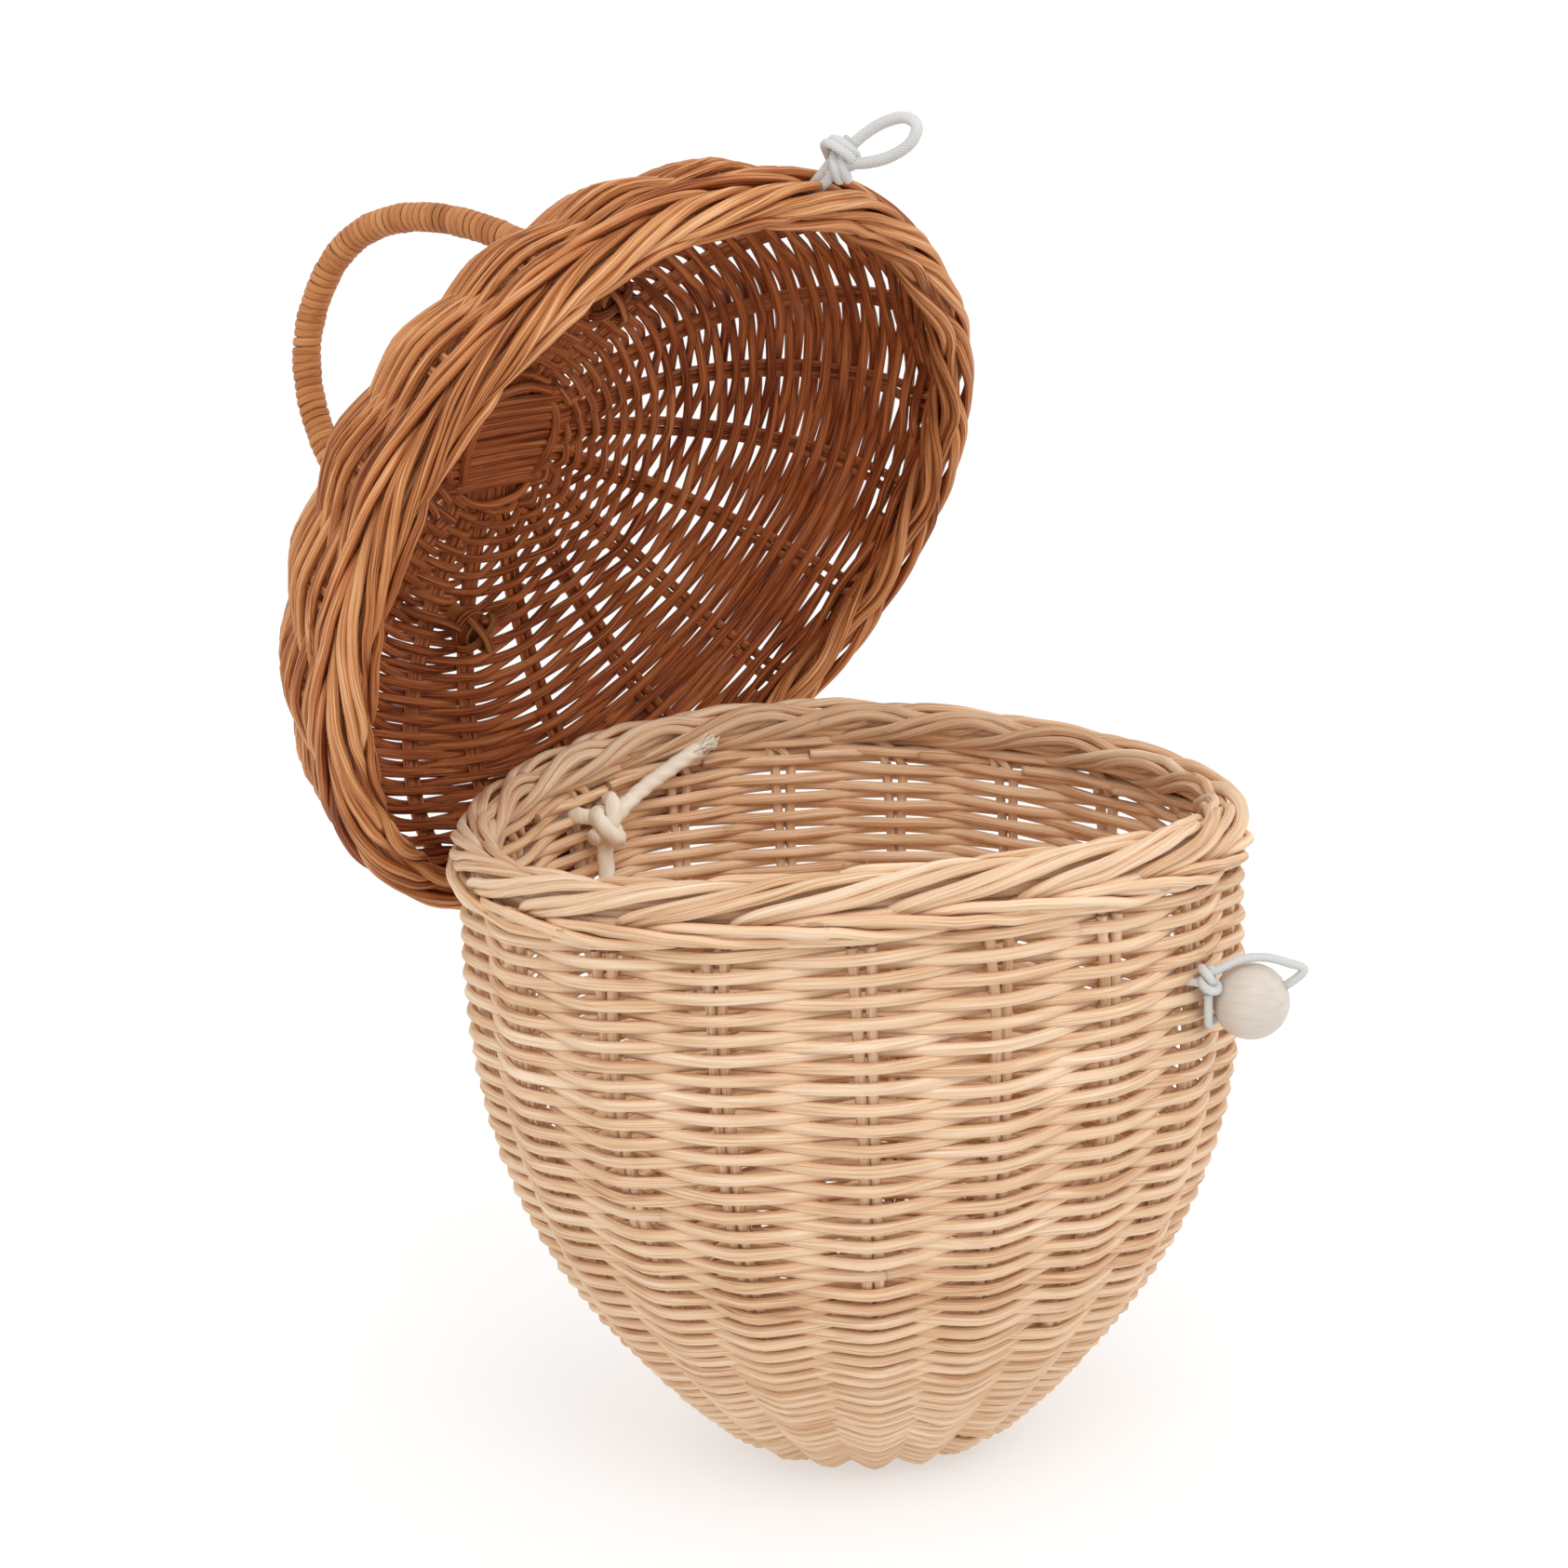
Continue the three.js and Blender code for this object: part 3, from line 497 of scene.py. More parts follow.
# A woven form: the middle of its wall as radius and height against the length from the axis,
# with the outward normal, and its stakes set round it by eye
def wovenForm(line, outward, count, last, seed):
    along = unit(np.gradient(line, axis=0))
    step = 2 * np.pi / count
    byEye = 0.05
    shift, lean = np.random.default_rng(seed).uniform(-byEye, byEye, (2, count)) * step
    return {
        "line": line, "length": lengthAlong(line), "count": count, "step": step, "last": last,
        "normal": outward * np.stack([along[:, 1], -along[:, 0]], -1), "shift": shift, "lean": lean,
    }


def surfaceAt(form, s, angle):
    columns = (*form["line"].T, *form["normal"].T)
    r, z, nr, nz = (np.interp(s, form["length"], column) for column in columns)
    return around(r, angle, z), unit(around(nr, angle, nz))


def stakeShift(form, k, s):
    k = np.asarray(k) % form["count"]
    return form["shift"][k] + form["lean"][k] * (s / form["last"] - 0.5)


# where an angle lies among the stakes, whole numbers at the stakes
def stakeNumber(form, angle, s):
    rough = (angle - np.pi) / form["step"]
    low = np.floor(rough).astype(int)
    share = rough - low
    shift = (1 - share) * stakeShift(form, low, s) + share * stakeShift(form, low + 1, s)
    return (angle - np.pi - shift) / form["step"]


# share that grows from its least near the middle to 1
def grown(least, near, far, s):
    return least + (1 - least) * smoothstep(near, far, s)


def rowHeight(look, s):
    return look["row"] * grown(*look["tight"], s)


# how far things stray, and the length of the waves: a weaver's rows in mm, its thickness and reach as shares,
# by radians; a cane's tone and a stake by mm; the handle's winding by turns
stray = {
    "row": (0.14, 0.9), "thick": (0.05, 2.3), "bumpy": (0.03, 0.31), "reach": (0.07, 1.7),
    "tone": (0.05, 240), "stake": (0.22, 70), "wound": (0.25, 7.3), "lift": (0.12, 5.1),
    "turn tone": (0.1, 6.7), "fine tone": (0.05, 1.9),
}


def strayed(kind, along, seed):
    amount, scale = stray[kind]
    return amount * wander(along, scale, seed)


# a weaver wound round the form, in front of one stake and behind the next, slimmer near the middle:
# out = reach * asin(sharp cos(pi number)) / asin(sharp), with rows that wander a little up and down.
# The second of two weavers starts half a turn earlier, so that no gap is left beside the cross
def weaver(form, look, phase, seed):
    first, last, spirals = look["first row"], form["last"] + look["last row"], look["weavers"]
    table = np.linspace(first, last, 2000)
    turns = np.r_[0, np.cumsum(np.diff(table) / (spirals * rowHeight(look, table[1:])))]
    early = -0.5 * phase
    lap = np.linspace(early, turns[-1], int((turns[-1] - early) * form["count"] * look["samples"]))
    angle = 2 * np.pi * lap
    s = np.interp(lap, turns, table)
    s = s + (phase + spirals * np.minimum(lap, 0)) * rowHeight(look, s)
    bend = np.arcsin(look["sharp"] * np.cos(np.pi * (stakeNumber(form, angle, s) + phase)))
    wave = bend / math.asin(look["sharp"])
    held = smoothstep(0, 20, s - first) * smoothstep(0, 16, last - s)
    rise = look["uneven"] * wanderRound(angle, s, 60, 3) + strayed("row", angle, seed + 1)
    p, n = surfaceAt(form, s + rise * held, angle)
    thick = look["radius"] * (1 + strayed("thick", angle, seed + 2) + strayed("bumpy", angle, seed + 3))
    thick = thick * grown(*look["slim"], s)
    out = look["reach"] * wave * (1 + strayed("reach", angle, seed + 4))
    return p + n * out[:, None], n, thick


# a long weaver as canes of their own length and tone, each tucked inside at its ends;
# grain is how far along its texture a cane may start
caneEnd = {"tuck": 1.5, "points": 7, "shortest": 80}
caneTone = {"range": (0.02, 0.98), "grain": 9000}


def canes(weave, look, seed, sides=7):
    path, normal, thick = weave
    draw = np.random.default_rng(seed)
    travelled = lengthAlong(path)
    made = []
    first = 0
    while first < len(path) - 20:
        last = int(np.searchsorted(travelled, travelled[first] + draw.uniform(*look["cane"])))
        last = len(path) - 1 if len(path) - last < caneEnd["shortest"] else last
        part = slice(first, last + 1)
        order = np.arange(last + 1 - first)
        tuck = 1 - smoothstep(0, caneEnd["points"], np.minimum(order, order[::-1]))
        tucked = path[part] - normal[part] * caneEnd["tuck"] * tuck[:, None]
        drift = strayed("tone", travelled[part], seed + first)
        tone = np.clip(draw.normal(*look["tone"]) + drift, *caneTone["range"])
        start = draw.uniform(0, caneTone["grain"])
        made.append(strand(tucked, normal[part], thick[part], sides, look["oval"], tone, start, normal[part]))
        first = last
    return made


# one cane rod with its own thickness and tone
def rodStrand(path, normal, radius, tones, draw, oval=1.0):
    tone = np.clip(draw.normal(*tones), 0, 1)
    radius = radius * draw.uniform(0.96, 1.04)
    return strand(path, normal, radius, 8, oval, tone, draw.uniform(0, caneTone["grain"]), normal)


# the cross at the middle of a form: rods in a layer, their pitch and half length. Stakes fan out from it
# and come to one level, end short of the last row, and stand in pairs that part a little at the top
slath = {"rods": 10, "pitch": 2.75, "reach": 14.5}
stake = {
    "start": 12.5, "short": 6.5, "step": 1.7, "fan": (13, 32), "level": (13, 24),
    "closeness": 1.02, "part": (26, 6),
}


# where a stake lies in the cross: the side it leaves by, its place across that side and its layer
def crossPlace(form, k):
    edges = np.r_[0, np.cumsum(form["groups"])]
    spot = (k + form["groups"][0] // 2) % form["count"]
    side = int(np.searchsorted(edges, spot, side="right") - 1)
    size = form["groups"][side]
    layer = form["layer"] if side % 2 else -form["layer"]
    width = slath["rods"] * slath["pitch"]
    return np.pi + side * np.pi / 2, (spot - edges[side] - (size - 1) / 2) * width / size, layer


# one rod of a stake: straight across the cross, then fanning out to its own angle
def stakeRod(form, k, way, rod, s, seed):
    side, across, layer = crossPlace(form, k)
    angle = np.pi + k * form["step"] + stakeShift(form, k, s)
    polar, n = surfaceAt(form, s, angle)
    straight = around(s, side, polar[:, 2]) + across * sideways(side)
    share = smoothstep(*stake["fan"], s)[:, None]
    beside = unit((1 - share) * sideways(side) + share * sideways(angle))
    low, high = (form["last"] - below for below in stake["part"])
    apart = stake["closeness"] * rod + form["part"] * smoothstep(low, high, s)
    apart = way * apart + strayed("stake", s, seed)
    level = layer * rod * (1 - smoothstep(*stake["level"], s))
    return (1 - share) * straight + share * polar + beside * apart[:, None] + n * level[:, None], n


def stakes(form, look, seed):
    draw = np.random.default_rng(seed)
    s = np.arange(stake["start"], form["last"] - stake["short"], stake["step"])
    for k in range(form["count"]):
        pair = []
        for way in (-1, 1):
            path, n = stakeRod(form, k, way, look["rod"], s, seed + 2 * k + way)
            pair.append(rodStrand(path, n, look["rod"], look["stake tone"], draw))
        addWoven(look, f"rods_{k + 1:02d}", pair, look["rod slot"], f"{look['name']}_stake_{k + 1:02d}")


# the cross of rods at the middle, one layer over the other
def cross(form, look, seed):
    draw = np.random.default_rng(seed)
    s = np.linspace(-slath["reach"], slath["reach"], 14)
    for layer, label, level in zip((1, -1), ("outer", "inner"), look["slath"]):
        side = np.pi / 2 if layer == form["layer"] else np.pi
        centre, n = surfaceAt(form, np.abs(s), np.full(len(s), side))
        rods = []
        for i in range(slath["rods"]):
            across = sideways(side) * (i - (slath["rods"] - 1) / 2) * slath["pitch"]
            path = around(s, side, centre[:, 2]) + across + n * layer * look["rod"]
            rods.append(rodStrand(path, n, look["rod"], look["stake tone"], draw))
        addWoven(look, f"cross_{label}", rods, look["rod slot"], f"{look['name']}_slath_{level}")


# rounds that bind the cross, over one bundle and under the other, in a rounded square
# (|cos|^power + |sin|^power)^(-1 / power), of which squareness is the share that is used
binding = {
    "rounds": 2, "radius": 15.5, "start": 0.4, "power": 5, "squareness": 0.25,
    "reach": 2.1, "steep": 2.2, "thick": 0.94,
}


def bindingRounds(form, look):
    made = []
    power = binding["power"]
    for lap in range(binding["rounds"]):
        angle = np.linspace(0, 2 * np.pi, 110) + binding["start"]
        square = (np.abs(np.cos(angle)) ** power + np.abs(np.sin(angle)) ** power) ** (-1 / power)
        s = (binding["radius"] + 2 * look["radius"] * lap) * (1 + binding["squareness"] * (square - 1))
        p, n = surfaceAt(form, s, angle)
        over = np.tanh(binding["steep"] * np.cos(2 * angle))
        out = (-1) ** lap * binding["reach"] * look["radius"] * over
        made.append((p + n * out[:, None], n, np.full(len(angle), look["radius"] * binding["thick"])))
    return made


# Border: every pair of rods leans to the right along the outside, over the top, under the next pair and up
# again, down inside, out under the others and along below them. The route is stake steps along, mm outwards
# and mm up; hoops are mm outwards, mm up and radius; ends is where the two rods of a pair stop
plaitRoute = [
    (0, 0, -8), (0.04, 0.3, -2.5), (0.3, 2.8, 0.2), (0.7, 4.2, 2.4), (1.1, 4.2, 5.0), (1.45, 3.0, 7.2),
    (1.85, 0.6, 7.9), (2.15, -1.2, 6.4), (2.4, -2.2, 4.0), (2.75, -2.4, 4.4), (3.05, -2.6, 6.6),
    (3.4, -3.8, 7.0), (3.75, -4.8, 4.4), (4.1, -3.8, 1.0), (4.4, -0.4, -0.8), (4.75, 3.6, -1.4),
    (5.4, 4.2, -2.8), (6.0, 3.4, -4.2), (6.4, 1.0, -4.8), (6.9, -1.6, -5.0),
]
plaitPlan = {"steps": 7, "ends": (6.8, 6.7), "middle": 3.5, "loose": 0.3, "oval": 1.08}
plaitHoops = [(-0.2, 0.8, 1.5), (-0.2, 3.4, 1.6), (-0.7, 5.4, 1.4)]
settle = {"rounds": 260, "gap": 2.04, "push": 0.3, "bend": 0.15, "pull": 0.02}


# in each slice across the border the rods are discs: they push one another apart, stay near the route
# and bend smoothly
def plaitShape(rod, perStep=24):
    laps = plaitPlan["steps"]
    u = np.arange(laps * perStep) / perStep
    fine = through(plaitRoute, 0.02)
    centre = sampled(u, fine[:, 0], fine[:, 1:])
    middle = centre - (0, plaitPlan["middle"])
    aside = unit(np.stack([-middle[:, 1], middle[:, 0]], -1)) * rod * smoothstep(0.03, 0.3, u)[:, None]
    start = np.stack([centre - aside, centre + aside])
    valid = np.stack([u <= end for end in plaitPlan["ends"]])
    there = valid.reshape(2, laps, perStep).transpose(2, 0, 1).reshape(perStep, 2 * laps)
    both = there[:, :, None] & there[:, None] & ~np.eye(2 * laps, dtype=bool)
    free = np.clip((u - 0.04) / 0.2, 0, 1)[:, None]
    p = start.copy()
    for _ in range(settle["rounds"]):
        discs = p.reshape(2, laps, perStep, 2).transpose(2, 0, 1, 3).reshape(perStep, 2 * laps, 2)
        move = settle["push"] * pushedApart(discs, both, settle["gap"] * rod, 1e-6)
        move = move.reshape(perStep, 2, laps, 2).transpose(1, 2, 0, 3).reshape(p.shape)
        move[:, 1:-1] += settle["bend"] * (p[:, :-2] - 2 * p[:, 1:-1] + p[:, 2:])
        p = p + free * (move + settle["pull"] * (start - p))
    return u, p, valid


# the rods of a border set round a form, over its hoops; radius is the middle of the border
# and edge the end of the weave
def border(form, look, seed):
    rod, radius = look["border rod"], look["border radius"]
    u, shape, valid = plaitShape(rod)
    draw = np.random.default_rng(seed)
    rods = []
    for k in range(form["count"]):
        tone = draw.normal(*look["border tone"])
        for i, way in enumerate((-1, 1)):
            along = u[valid[i]]
            own = stakeShift(form, k, form["last"]) * (1 - smoothstep(0, 1.2, along))
            aside = way * (stake["closeness"] * rod + form["part"]) * (1 - smoothstep(0.0, 0.35, along))
            angle = np.pi + k * form["step"] + own + look["way"] * along * form["step"] + aside / radius
            rodSeed = seed + 9 * k + i
            loose = np.stack([wander(along, 2.1, rodSeed), wander(along, 1.7, rodSeed + 400)], -1)
            loose = plaitPlan["loose"] * loose * smoothstep(0.1, 0.6, along)[:, None]
            out, up = (shape[i][valid[i]] + loose).T
            path = around(radius + out, angle, look["edge"] + look["up"] * up)
            normal = unit(around(out, angle, look["up"] * (up - plaitPlan["middle"])))
            rods.append(rodStrand(smoothed(path, 2), normal, rod, (tone, 0.06), draw, plaitPlan["oval"]))
    turn = np.linspace(0, 2 * np.pi + 0.1, 160)
    for out, up, thick in plaitHoops:
        hoop = around(radius + out, turn, look["edge"] + look["up"] * up)
        rods.append(rodStrand(hoop, around(1.0, turn, 0.0), thick, look["border tone"], draw))
    return rods


# everything woven on a form: its weavers with the rounds that bind the cross, stakes, cross and border
def weaveForm(form, look, seed):
    weave = []
    for phase in range(look["weavers"]):
        weave += canes(weaver(form, look, phase, seed + phase), look, seed + 10 + phase)
    for lap in bindingRounds(form, look):
        weave += canes(lap, look, seed + 12)
    addWoven(look, "weave", weave, look["cane slot"], look["wall node"])
    print("stage:", look["name"], "weave,", len(weave), "canes")
    stakes(form, look, seed + 20)
    cross(form, look, seed + 22)
    plait = border(form, look, seed + 30)
    addWoven(look, "plait", plait, look["cane slot"], f"{look['name']}_border")
    print("stage:", look["name"], "border")
    return plait


# thin fibres that stand off the rods here and there, but not where the lid comes to rest
hairLook = {"radius": 0.11, "tone": 0.75, "root": 1.5, "reach": (0.8, 2.6), "lean": (1.5, 4.0), "bent": 0.7}


def strayFibres(rods, look, count, seed):
    draw = np.random.default_rng(seed)
    made = []
    while len(made) < count:
        rings = rods[draw.integers(len(rods))]["rings"]
        i, j = draw.integers(20, len(rings) - 6), draw.integers(rings.shape[1])
        root = rings[i, j]
        if np.hypot(*root[:2]) > look["border radius"] - 1.5 and root[2] > look["edge"] + 1:
            continue
        out, along = unit(root - rings[i].mean(0)), unit(rings[i + 1].mean(0) - rings[i].mean(0))
        reach, lean = draw.uniform(*hairLook["reach"]), draw.uniform(*hairLook["lean"])
        tip = root + out * reach + along * lean + draw.normal(0, hairLook["bent"], 3)
        bend = root + along * 0.4 * lean + out * 0.3 * reach
        hair = through([root - along * hairLook["root"], bend, tip], 0.6)
        side = carried(hair, (0.3, 0.5, 0.8))
        made.append(strand(hair, side, hairLook["radius"], 3, 1.0, hairLook["tone"]))
    return made


# Basket
basket = {
    "foot": 33.0, "belly": 97.4, "belly height": 140.0, "fullness": 2.5, "corner": 0.95,
    "top": 157.0, "rim": 168.0, "depth": 4.0, "floor": 4.25,
}
handMade = {"saddle": 4.0, "saddle turn": math.radians(60), "out of round": 0.006, "wave": 160}


# outline of the wall: foot + (belly - foot) (1 - (1 - height / belly height)^fullness)^corner
def basketRadius(height):
    fall = np.maximum(0, 1 - height / basket["belly height"])
    share = (1 - fall ** basket["fullness"]) ** basket["corner"]
    return basket["foot"] + (basket["belly"] - basket["foot"]) * share


# middle of the wall: the outline moved inwards along its normal, with a flat bottom and a rounded corner
def basketLine():
    height = np.linspace(0.0, basket["top"] + 14, 900)
    radius = basketRadius(height)
    slope = np.gradient(radius, height)
    length = np.hypot(1, slope)
    wall = np.stack([radius - basket["depth"] / length, height + basket["depth"] * slope / length], -1)
    wall = wall[wall[:, 1] > basket["floor"] + 0.02]
    flat = np.stack([np.linspace(0, wall[0, 0], 60), np.full(60, basket["floor"])], -1)[:-1]
    return smoothed(evenly(np.vstack([flat, wall]), 0.5), 120)


# made by hand: the form is a little out of round, and the rim's height waves twice round
def byHand(p, swell, lift):
    angle = np.arctan2(p[:, 0], -p[:, 1])
    wide = 1 + handMade["out of round"] * swell * wanderRound(angle, p[:, 2], handMade["wave"], 5)
    saddle = handMade["saddle"] * np.cos(2 * angle + handMade["saddle turn"])
    return np.stack([p[:, 0] * wide, p[:, 1] * wide, p[:, 2] + saddle * lift], -1)


def placeBasket(p):
    rise = np.clip(p[:, 2] / basket["rim"], 0, 1.1)
    return byHand(p, rise, rise ** 1.5)


straw = {
    "name": "basket", "paint": strawPaint, "place": placeBasket, "wall node": "basket_wall",
    "cane slot": "straw_cane", "rod slot": "straw_rod", "slath": ("lower", "upper"),
    "weavers": 1, "first row": 20.0, "last row": 1.6, "row": 2.42, "tight": (0.64, 30, 125),
    "uneven": 0.75, "samples": 8, "sharp": 0.94, "reach": 2.66, "radius": 1.34,
    "slim": (0.84, 30, 100), "oval": 1.1, "cane": (700, 1900), "tone": (0.56, 0.07),
    "rod": 1.36, "stake tone": (0.62, 0.07), "border rod": 1.24, "border tone": (0.52, 0.07),
    "border radius": 92.4, "edge": 157.5, "up": 1, "way": 1,
}
line = basketLine()
basketForm = wovenForm(line, 1, 19, float(np.interp(basket["top"], line[:, 1], lengthAlong(line))), 7)
basketForm.update(groups=[5, 5, 4, 5], part=0.9, layer=1)
plait = weaveForm(basketForm, straw, 21)
addWoven(straw, "fibres", strayFibres(plait[:-len(plaitHoops)], straw, 80, 53), "straw_cane")

# Lid, worked out shut with heights from the middle of its border, then tipped back about the hinge line
lid = {
    "radius": 107.5, "height": 66.6, "round": 2.2, "bulge": 4.5, "bulge height": 20.0, "depth": 4.0,
    "edge": 5.3, "shut": 170.077, "hinge": (68.98354, 144.12378), "open": math.radians(62.9),
}
tipCos, tipSin = math.cos(lid["open"]), math.sin(lid["open"])


# middle of the dome: the outline (radius / R)^round + (height / H)^round = 1, drawn in below its bulge by
# bulge (1 - (height - edge) / bulge height)^2, and moved inwards along its normal
def domeLine():
    turn = np.linspace(np.pi / 2, 0, 900)
    radius = lid["radius"] * np.maximum(np.cos(turn), 0) ** (2 / lid["round"])
    height = lid["height"] * np.sin(turn) ** (2 / lid["round"])
    drawn = np.clip(1 - (height - lid["edge"]) / lid["bulge height"], 0, 1)
    outline = evenly(np.stack([radius - lid["bulge"] * drawn ** 2, height], -1), 0.5)
    outline = np.vstack([outline, outline[-1] + np.outer(np.arange(1, 24) * 0.5, (0, -1))])
    along = unit(np.gradient(outline, axis=0))
    line = outline + lid["depth"] * np.stack([along[:, 1], -along[:, 0]], -1)
    line[0, 0] = 0
    return smoothed(line, 40)


def placeLid(p):
    share = np.clip(1 - p[:, 2] / lid["height"], 0, 1) ** 1.5
    x, y, z = byHand(p, share, share).T
    hingeY, hingeZ = lid["hinge"]
    y, z = y - hingeY, z + lid["shut"] - hingeZ
    return np.stack([x, tipCos * y + tipSin * z + hingeY, tipCos * z - tipSin * y + hingeZ], -1)


brown = {
    **straw, "name": "lid", "paint": brownPaint, "place": placeLid, "wall node": "lid_dome",
    "cane slot": "brown_cane", "rod slot": "brown_rod", "slath": ("upper", "lower"),
    "weavers": 2, "first row": 19.6, "last row": -0.4, "tight": (1.0, 30, 125),
    "reach": 2.6, "radius": 1.32, "oval": 1.04, "cane": (600, 1500), "tone": (0.5, 0.12),
    "rod": 1.34, "stake tone": (0.5, 0.1), "border tone": (0.55, 0.1),
    "border radius": 100.6, "edge": 4.8, "up": -1, "way": -1,
}
line = domeLine()
lidForm = wovenForm(line, -1, 20, float(np.interp(-lid["edge"], -line[:, 1], lengthAlong(line))), 17)
lidForm.update(groups=[5, 5, 5, 5], part=0.7, layer=-1)
weaveForm(lidForm, brown, 61)

# Handle: an arch (along / half span)^round + (height / rise)^round = 1, wound with flat cane
handle = {
    "turn": math.radians(7), "half span": 50.0, "foot": 45.0, "rise": 96.5, "round": 2.28, "core": 3.0,
    "from": 61.5, "pitch": 2.32, "half width": 1.2, "half thick": 0.45, "gap": 0.1, "points": 14,
}
turn = np.linspace(0, np.pi, 600)
share = 2 / handle["round"]
reach = handle["half span"] * np.sign(np.cos(turn)) * np.abs(np.cos(turn)) ** share
arch = evenly(around(reach, handle["turn"], handle["foot"] + handle["rise"] * np.sin(turn) ** share), 0.5)
side = sideways(handle["turn"])
core = strand(arch[::3], side, handle["core"], 14, 1.0, 0.45)
addPiece("handle_rod", [core], handlePaint, placeLid, "lid", "handle_cane", "handle_core")
wound = arch[arch[:, 2] > handle["from"]]
along = lengthAlong(wound)
turns = int(along[-1] / handle["pitch"])
lap = np.linspace(0, turns, turns * handle["points"])
spot = np.linspace(0, along[-1], turns * handle["points"]) + strayed("wound", lap, 3)
middle = sampled(spot, along, wound)
way = unit(np.gradient(middle, axis=0))
out = np.cos(2 * np.pi * lap)[:, None] * side + np.sin(2 * np.pi * lap)[:, None] * np.cross(way, side)
ride = handle["core"] + handle["gap"] + handle["half thick"] + strayed("lift", lap, 9)
tone = np.clip(0.5 + strayed("turn tone", np.floor(lap), 5) + strayed("fine tone", lap, 6), 0, 1)
flat = handle["half width"] / handle["half thick"]
ribbon = strand(middle + ride[:, None] * out, out, handle["half thick"], 8, flat, tone)
addPiece("handle_winding", [ribbon], handlePaint, placeLid, "lid", "handle_cane", "handle_wrap")

# Lashings: a few turns round each foot under the dome, two strips across its end, the second one lower, and
# two ends let into the weave. across is mm from the foot's axis and a height, end mm along the dome and out
lashing = {
    "cane": 1.15, "gap": 0.1, "turns": 3.6, "low": 46.2, "high": 51.2,
    "across": [(6.3, 47.2), (5.6, 45.4), (3.4, 44.0), (0.0, 43.6)], "under": 4.0,
    "end": [(10.0, -5.2), (16.0, -4.2), (22.0, -0.5), (27.0, 2.4)],
}
ring = handle["core"] + lashing["cane"] + lashing["gap"]
across = lashing["across"] + [(-reach, height) for reach, height in lashing["across"][-2::-1]]
s = np.interp([handle["half span"] + 1], lidForm["line"][:, 0], lidForm["length"])
for label, front in (("front", 1), ("back", -1)):
    foot = around(front * handle["half span"], handle["turn"], 0.0)
    turn = np.linspace(0, 2 * np.pi * lashing["turns"], 70)
    coil = foot + around(ring, turn, np.linspace(lashing["low"], lashing["high"], 70))
    strands = [strand(coil, coil - foot, lashing["cane"], 8, 1.0, 0.12, 40.0, foot - coil)]
    for lower, slant in ((0.0, 0.7), (2.2, 2.4)):
        points = []
        for reach, height in across:
            height = height - lower if abs(reach) < lashing["under"] else height
            points.append(foot + around(reach, handle["turn"] + slant, height))
        strip = through(points, 0.8)
        strands.append(strand(strip, carried(strip, (0, 0, 1)), lashing["cane"], 8, 1.0, 0.2, 60.0 + lower))
    for way in (-1, 1):
        points = [foot + (0, 0, 47.5) + around(ring, handle["turn"], 0) * front]
        points.append(foot + (0, 0, 48.0) + way * sideways(handle["turn"]) * ring)
        for beside, depth in lashing["end"]:
            angle = handle["turn"] + (0 if front > 0 else np.pi) + way * front * beside / handle["half span"]
            p, n = surfaceAt(lidForm, s, np.array([angle]))
            points.append((p + n * depth)[0])
        arm = through(points, 1.0)
        strands.append(strand(arm, carried(arm, (0, 0, 1)), lashing["cane"], 8, 1.0, 0.2, 90.0))
    replaced = f"handle_lashing_{label}"
    addPiece(f"lashing_{label}", strands, brownPaint, placeLid, "lid", "handle_cane", replaced)
print("stage: handle,", turns, "turns")


# Cords. An overhand knot: an open trefoil whose ends are drawn apart while every point moves towards its
# neighbours' middle and turns nearer than the cord's thickness push one another away; keep is the half
# length that is used
def overhand(radius, spread, keep, rounds=420):
    t = np.linspace(np.pi + 0.22, 3 * np.pi - 0.22, 90)
    loop = np.stack([np.sin(t) + 2 * np.sin(2 * t), np.cos(t) - 2 * np.cos(2 * t), -1.6 * np.sin(3 * t)], -1)
    right = np.array([[9, -4.4, 0], [4, -5.2, 0], [1.4, -4.4, 0]])
    path = np.vstack([right, loop, right[::-1] * (-1, 1, 1)]) * radius * 1.25
    ends = np.array([[spread, 0, 0], [-spread, 0, 0]])
    for turn in range(rounds):
        if turn % 20 == 0:
            path = evenly(path, 0.42 * radius)
        order = np.arange(len(path))
        apart = np.abs(order[:, None] - order) > 7
        path = smoothed(path, 2)
        path[[0, -1]] += 0.03 * (ends - path[[0, -1]])
        for _ in range(2):
            path = path + 0.25 * pushedApart(path, apart, 2 * radius, 1e-9)
    return path[np.abs(path[:, 0]) < keep]


# a knot turned so that its long direction and its face lie as given, at even steps
def setKnot(path, middle, long, face, step=0.5):
    x, z = unit(np.asarray(long, float)), np.asarray(face, float)
    z = unit(z - x * (x @ z))
    return evenly(middle + path @ np.stack([x, np.cross(z, x), z]), step)


# soft laid cord: a ring with three low lobes, radius (1 + 0.05 cos 3 turn), that twists once in pitch radii
def laid(path, radius, first, tone=0.5, pitch=6.5):
    side = carried(path, first)
    other = np.cross(unit(np.gradient(path, axis=0)), side)
    turn = (2 * np.pi * lengthAlong(path) / (pitch * radius))[:, None]
    made = strand(path, np.cos(turn) * side + np.sin(turn) * other, radius, 18, 1.0, tone)
    lobes = 1 + 0.05 * np.cos(6 * np.pi * np.arange(18) / 18)
    made["rings"] = path[:, None] + (made["rings"] - path[:, None]) * lobes[:, None]
    return [made]


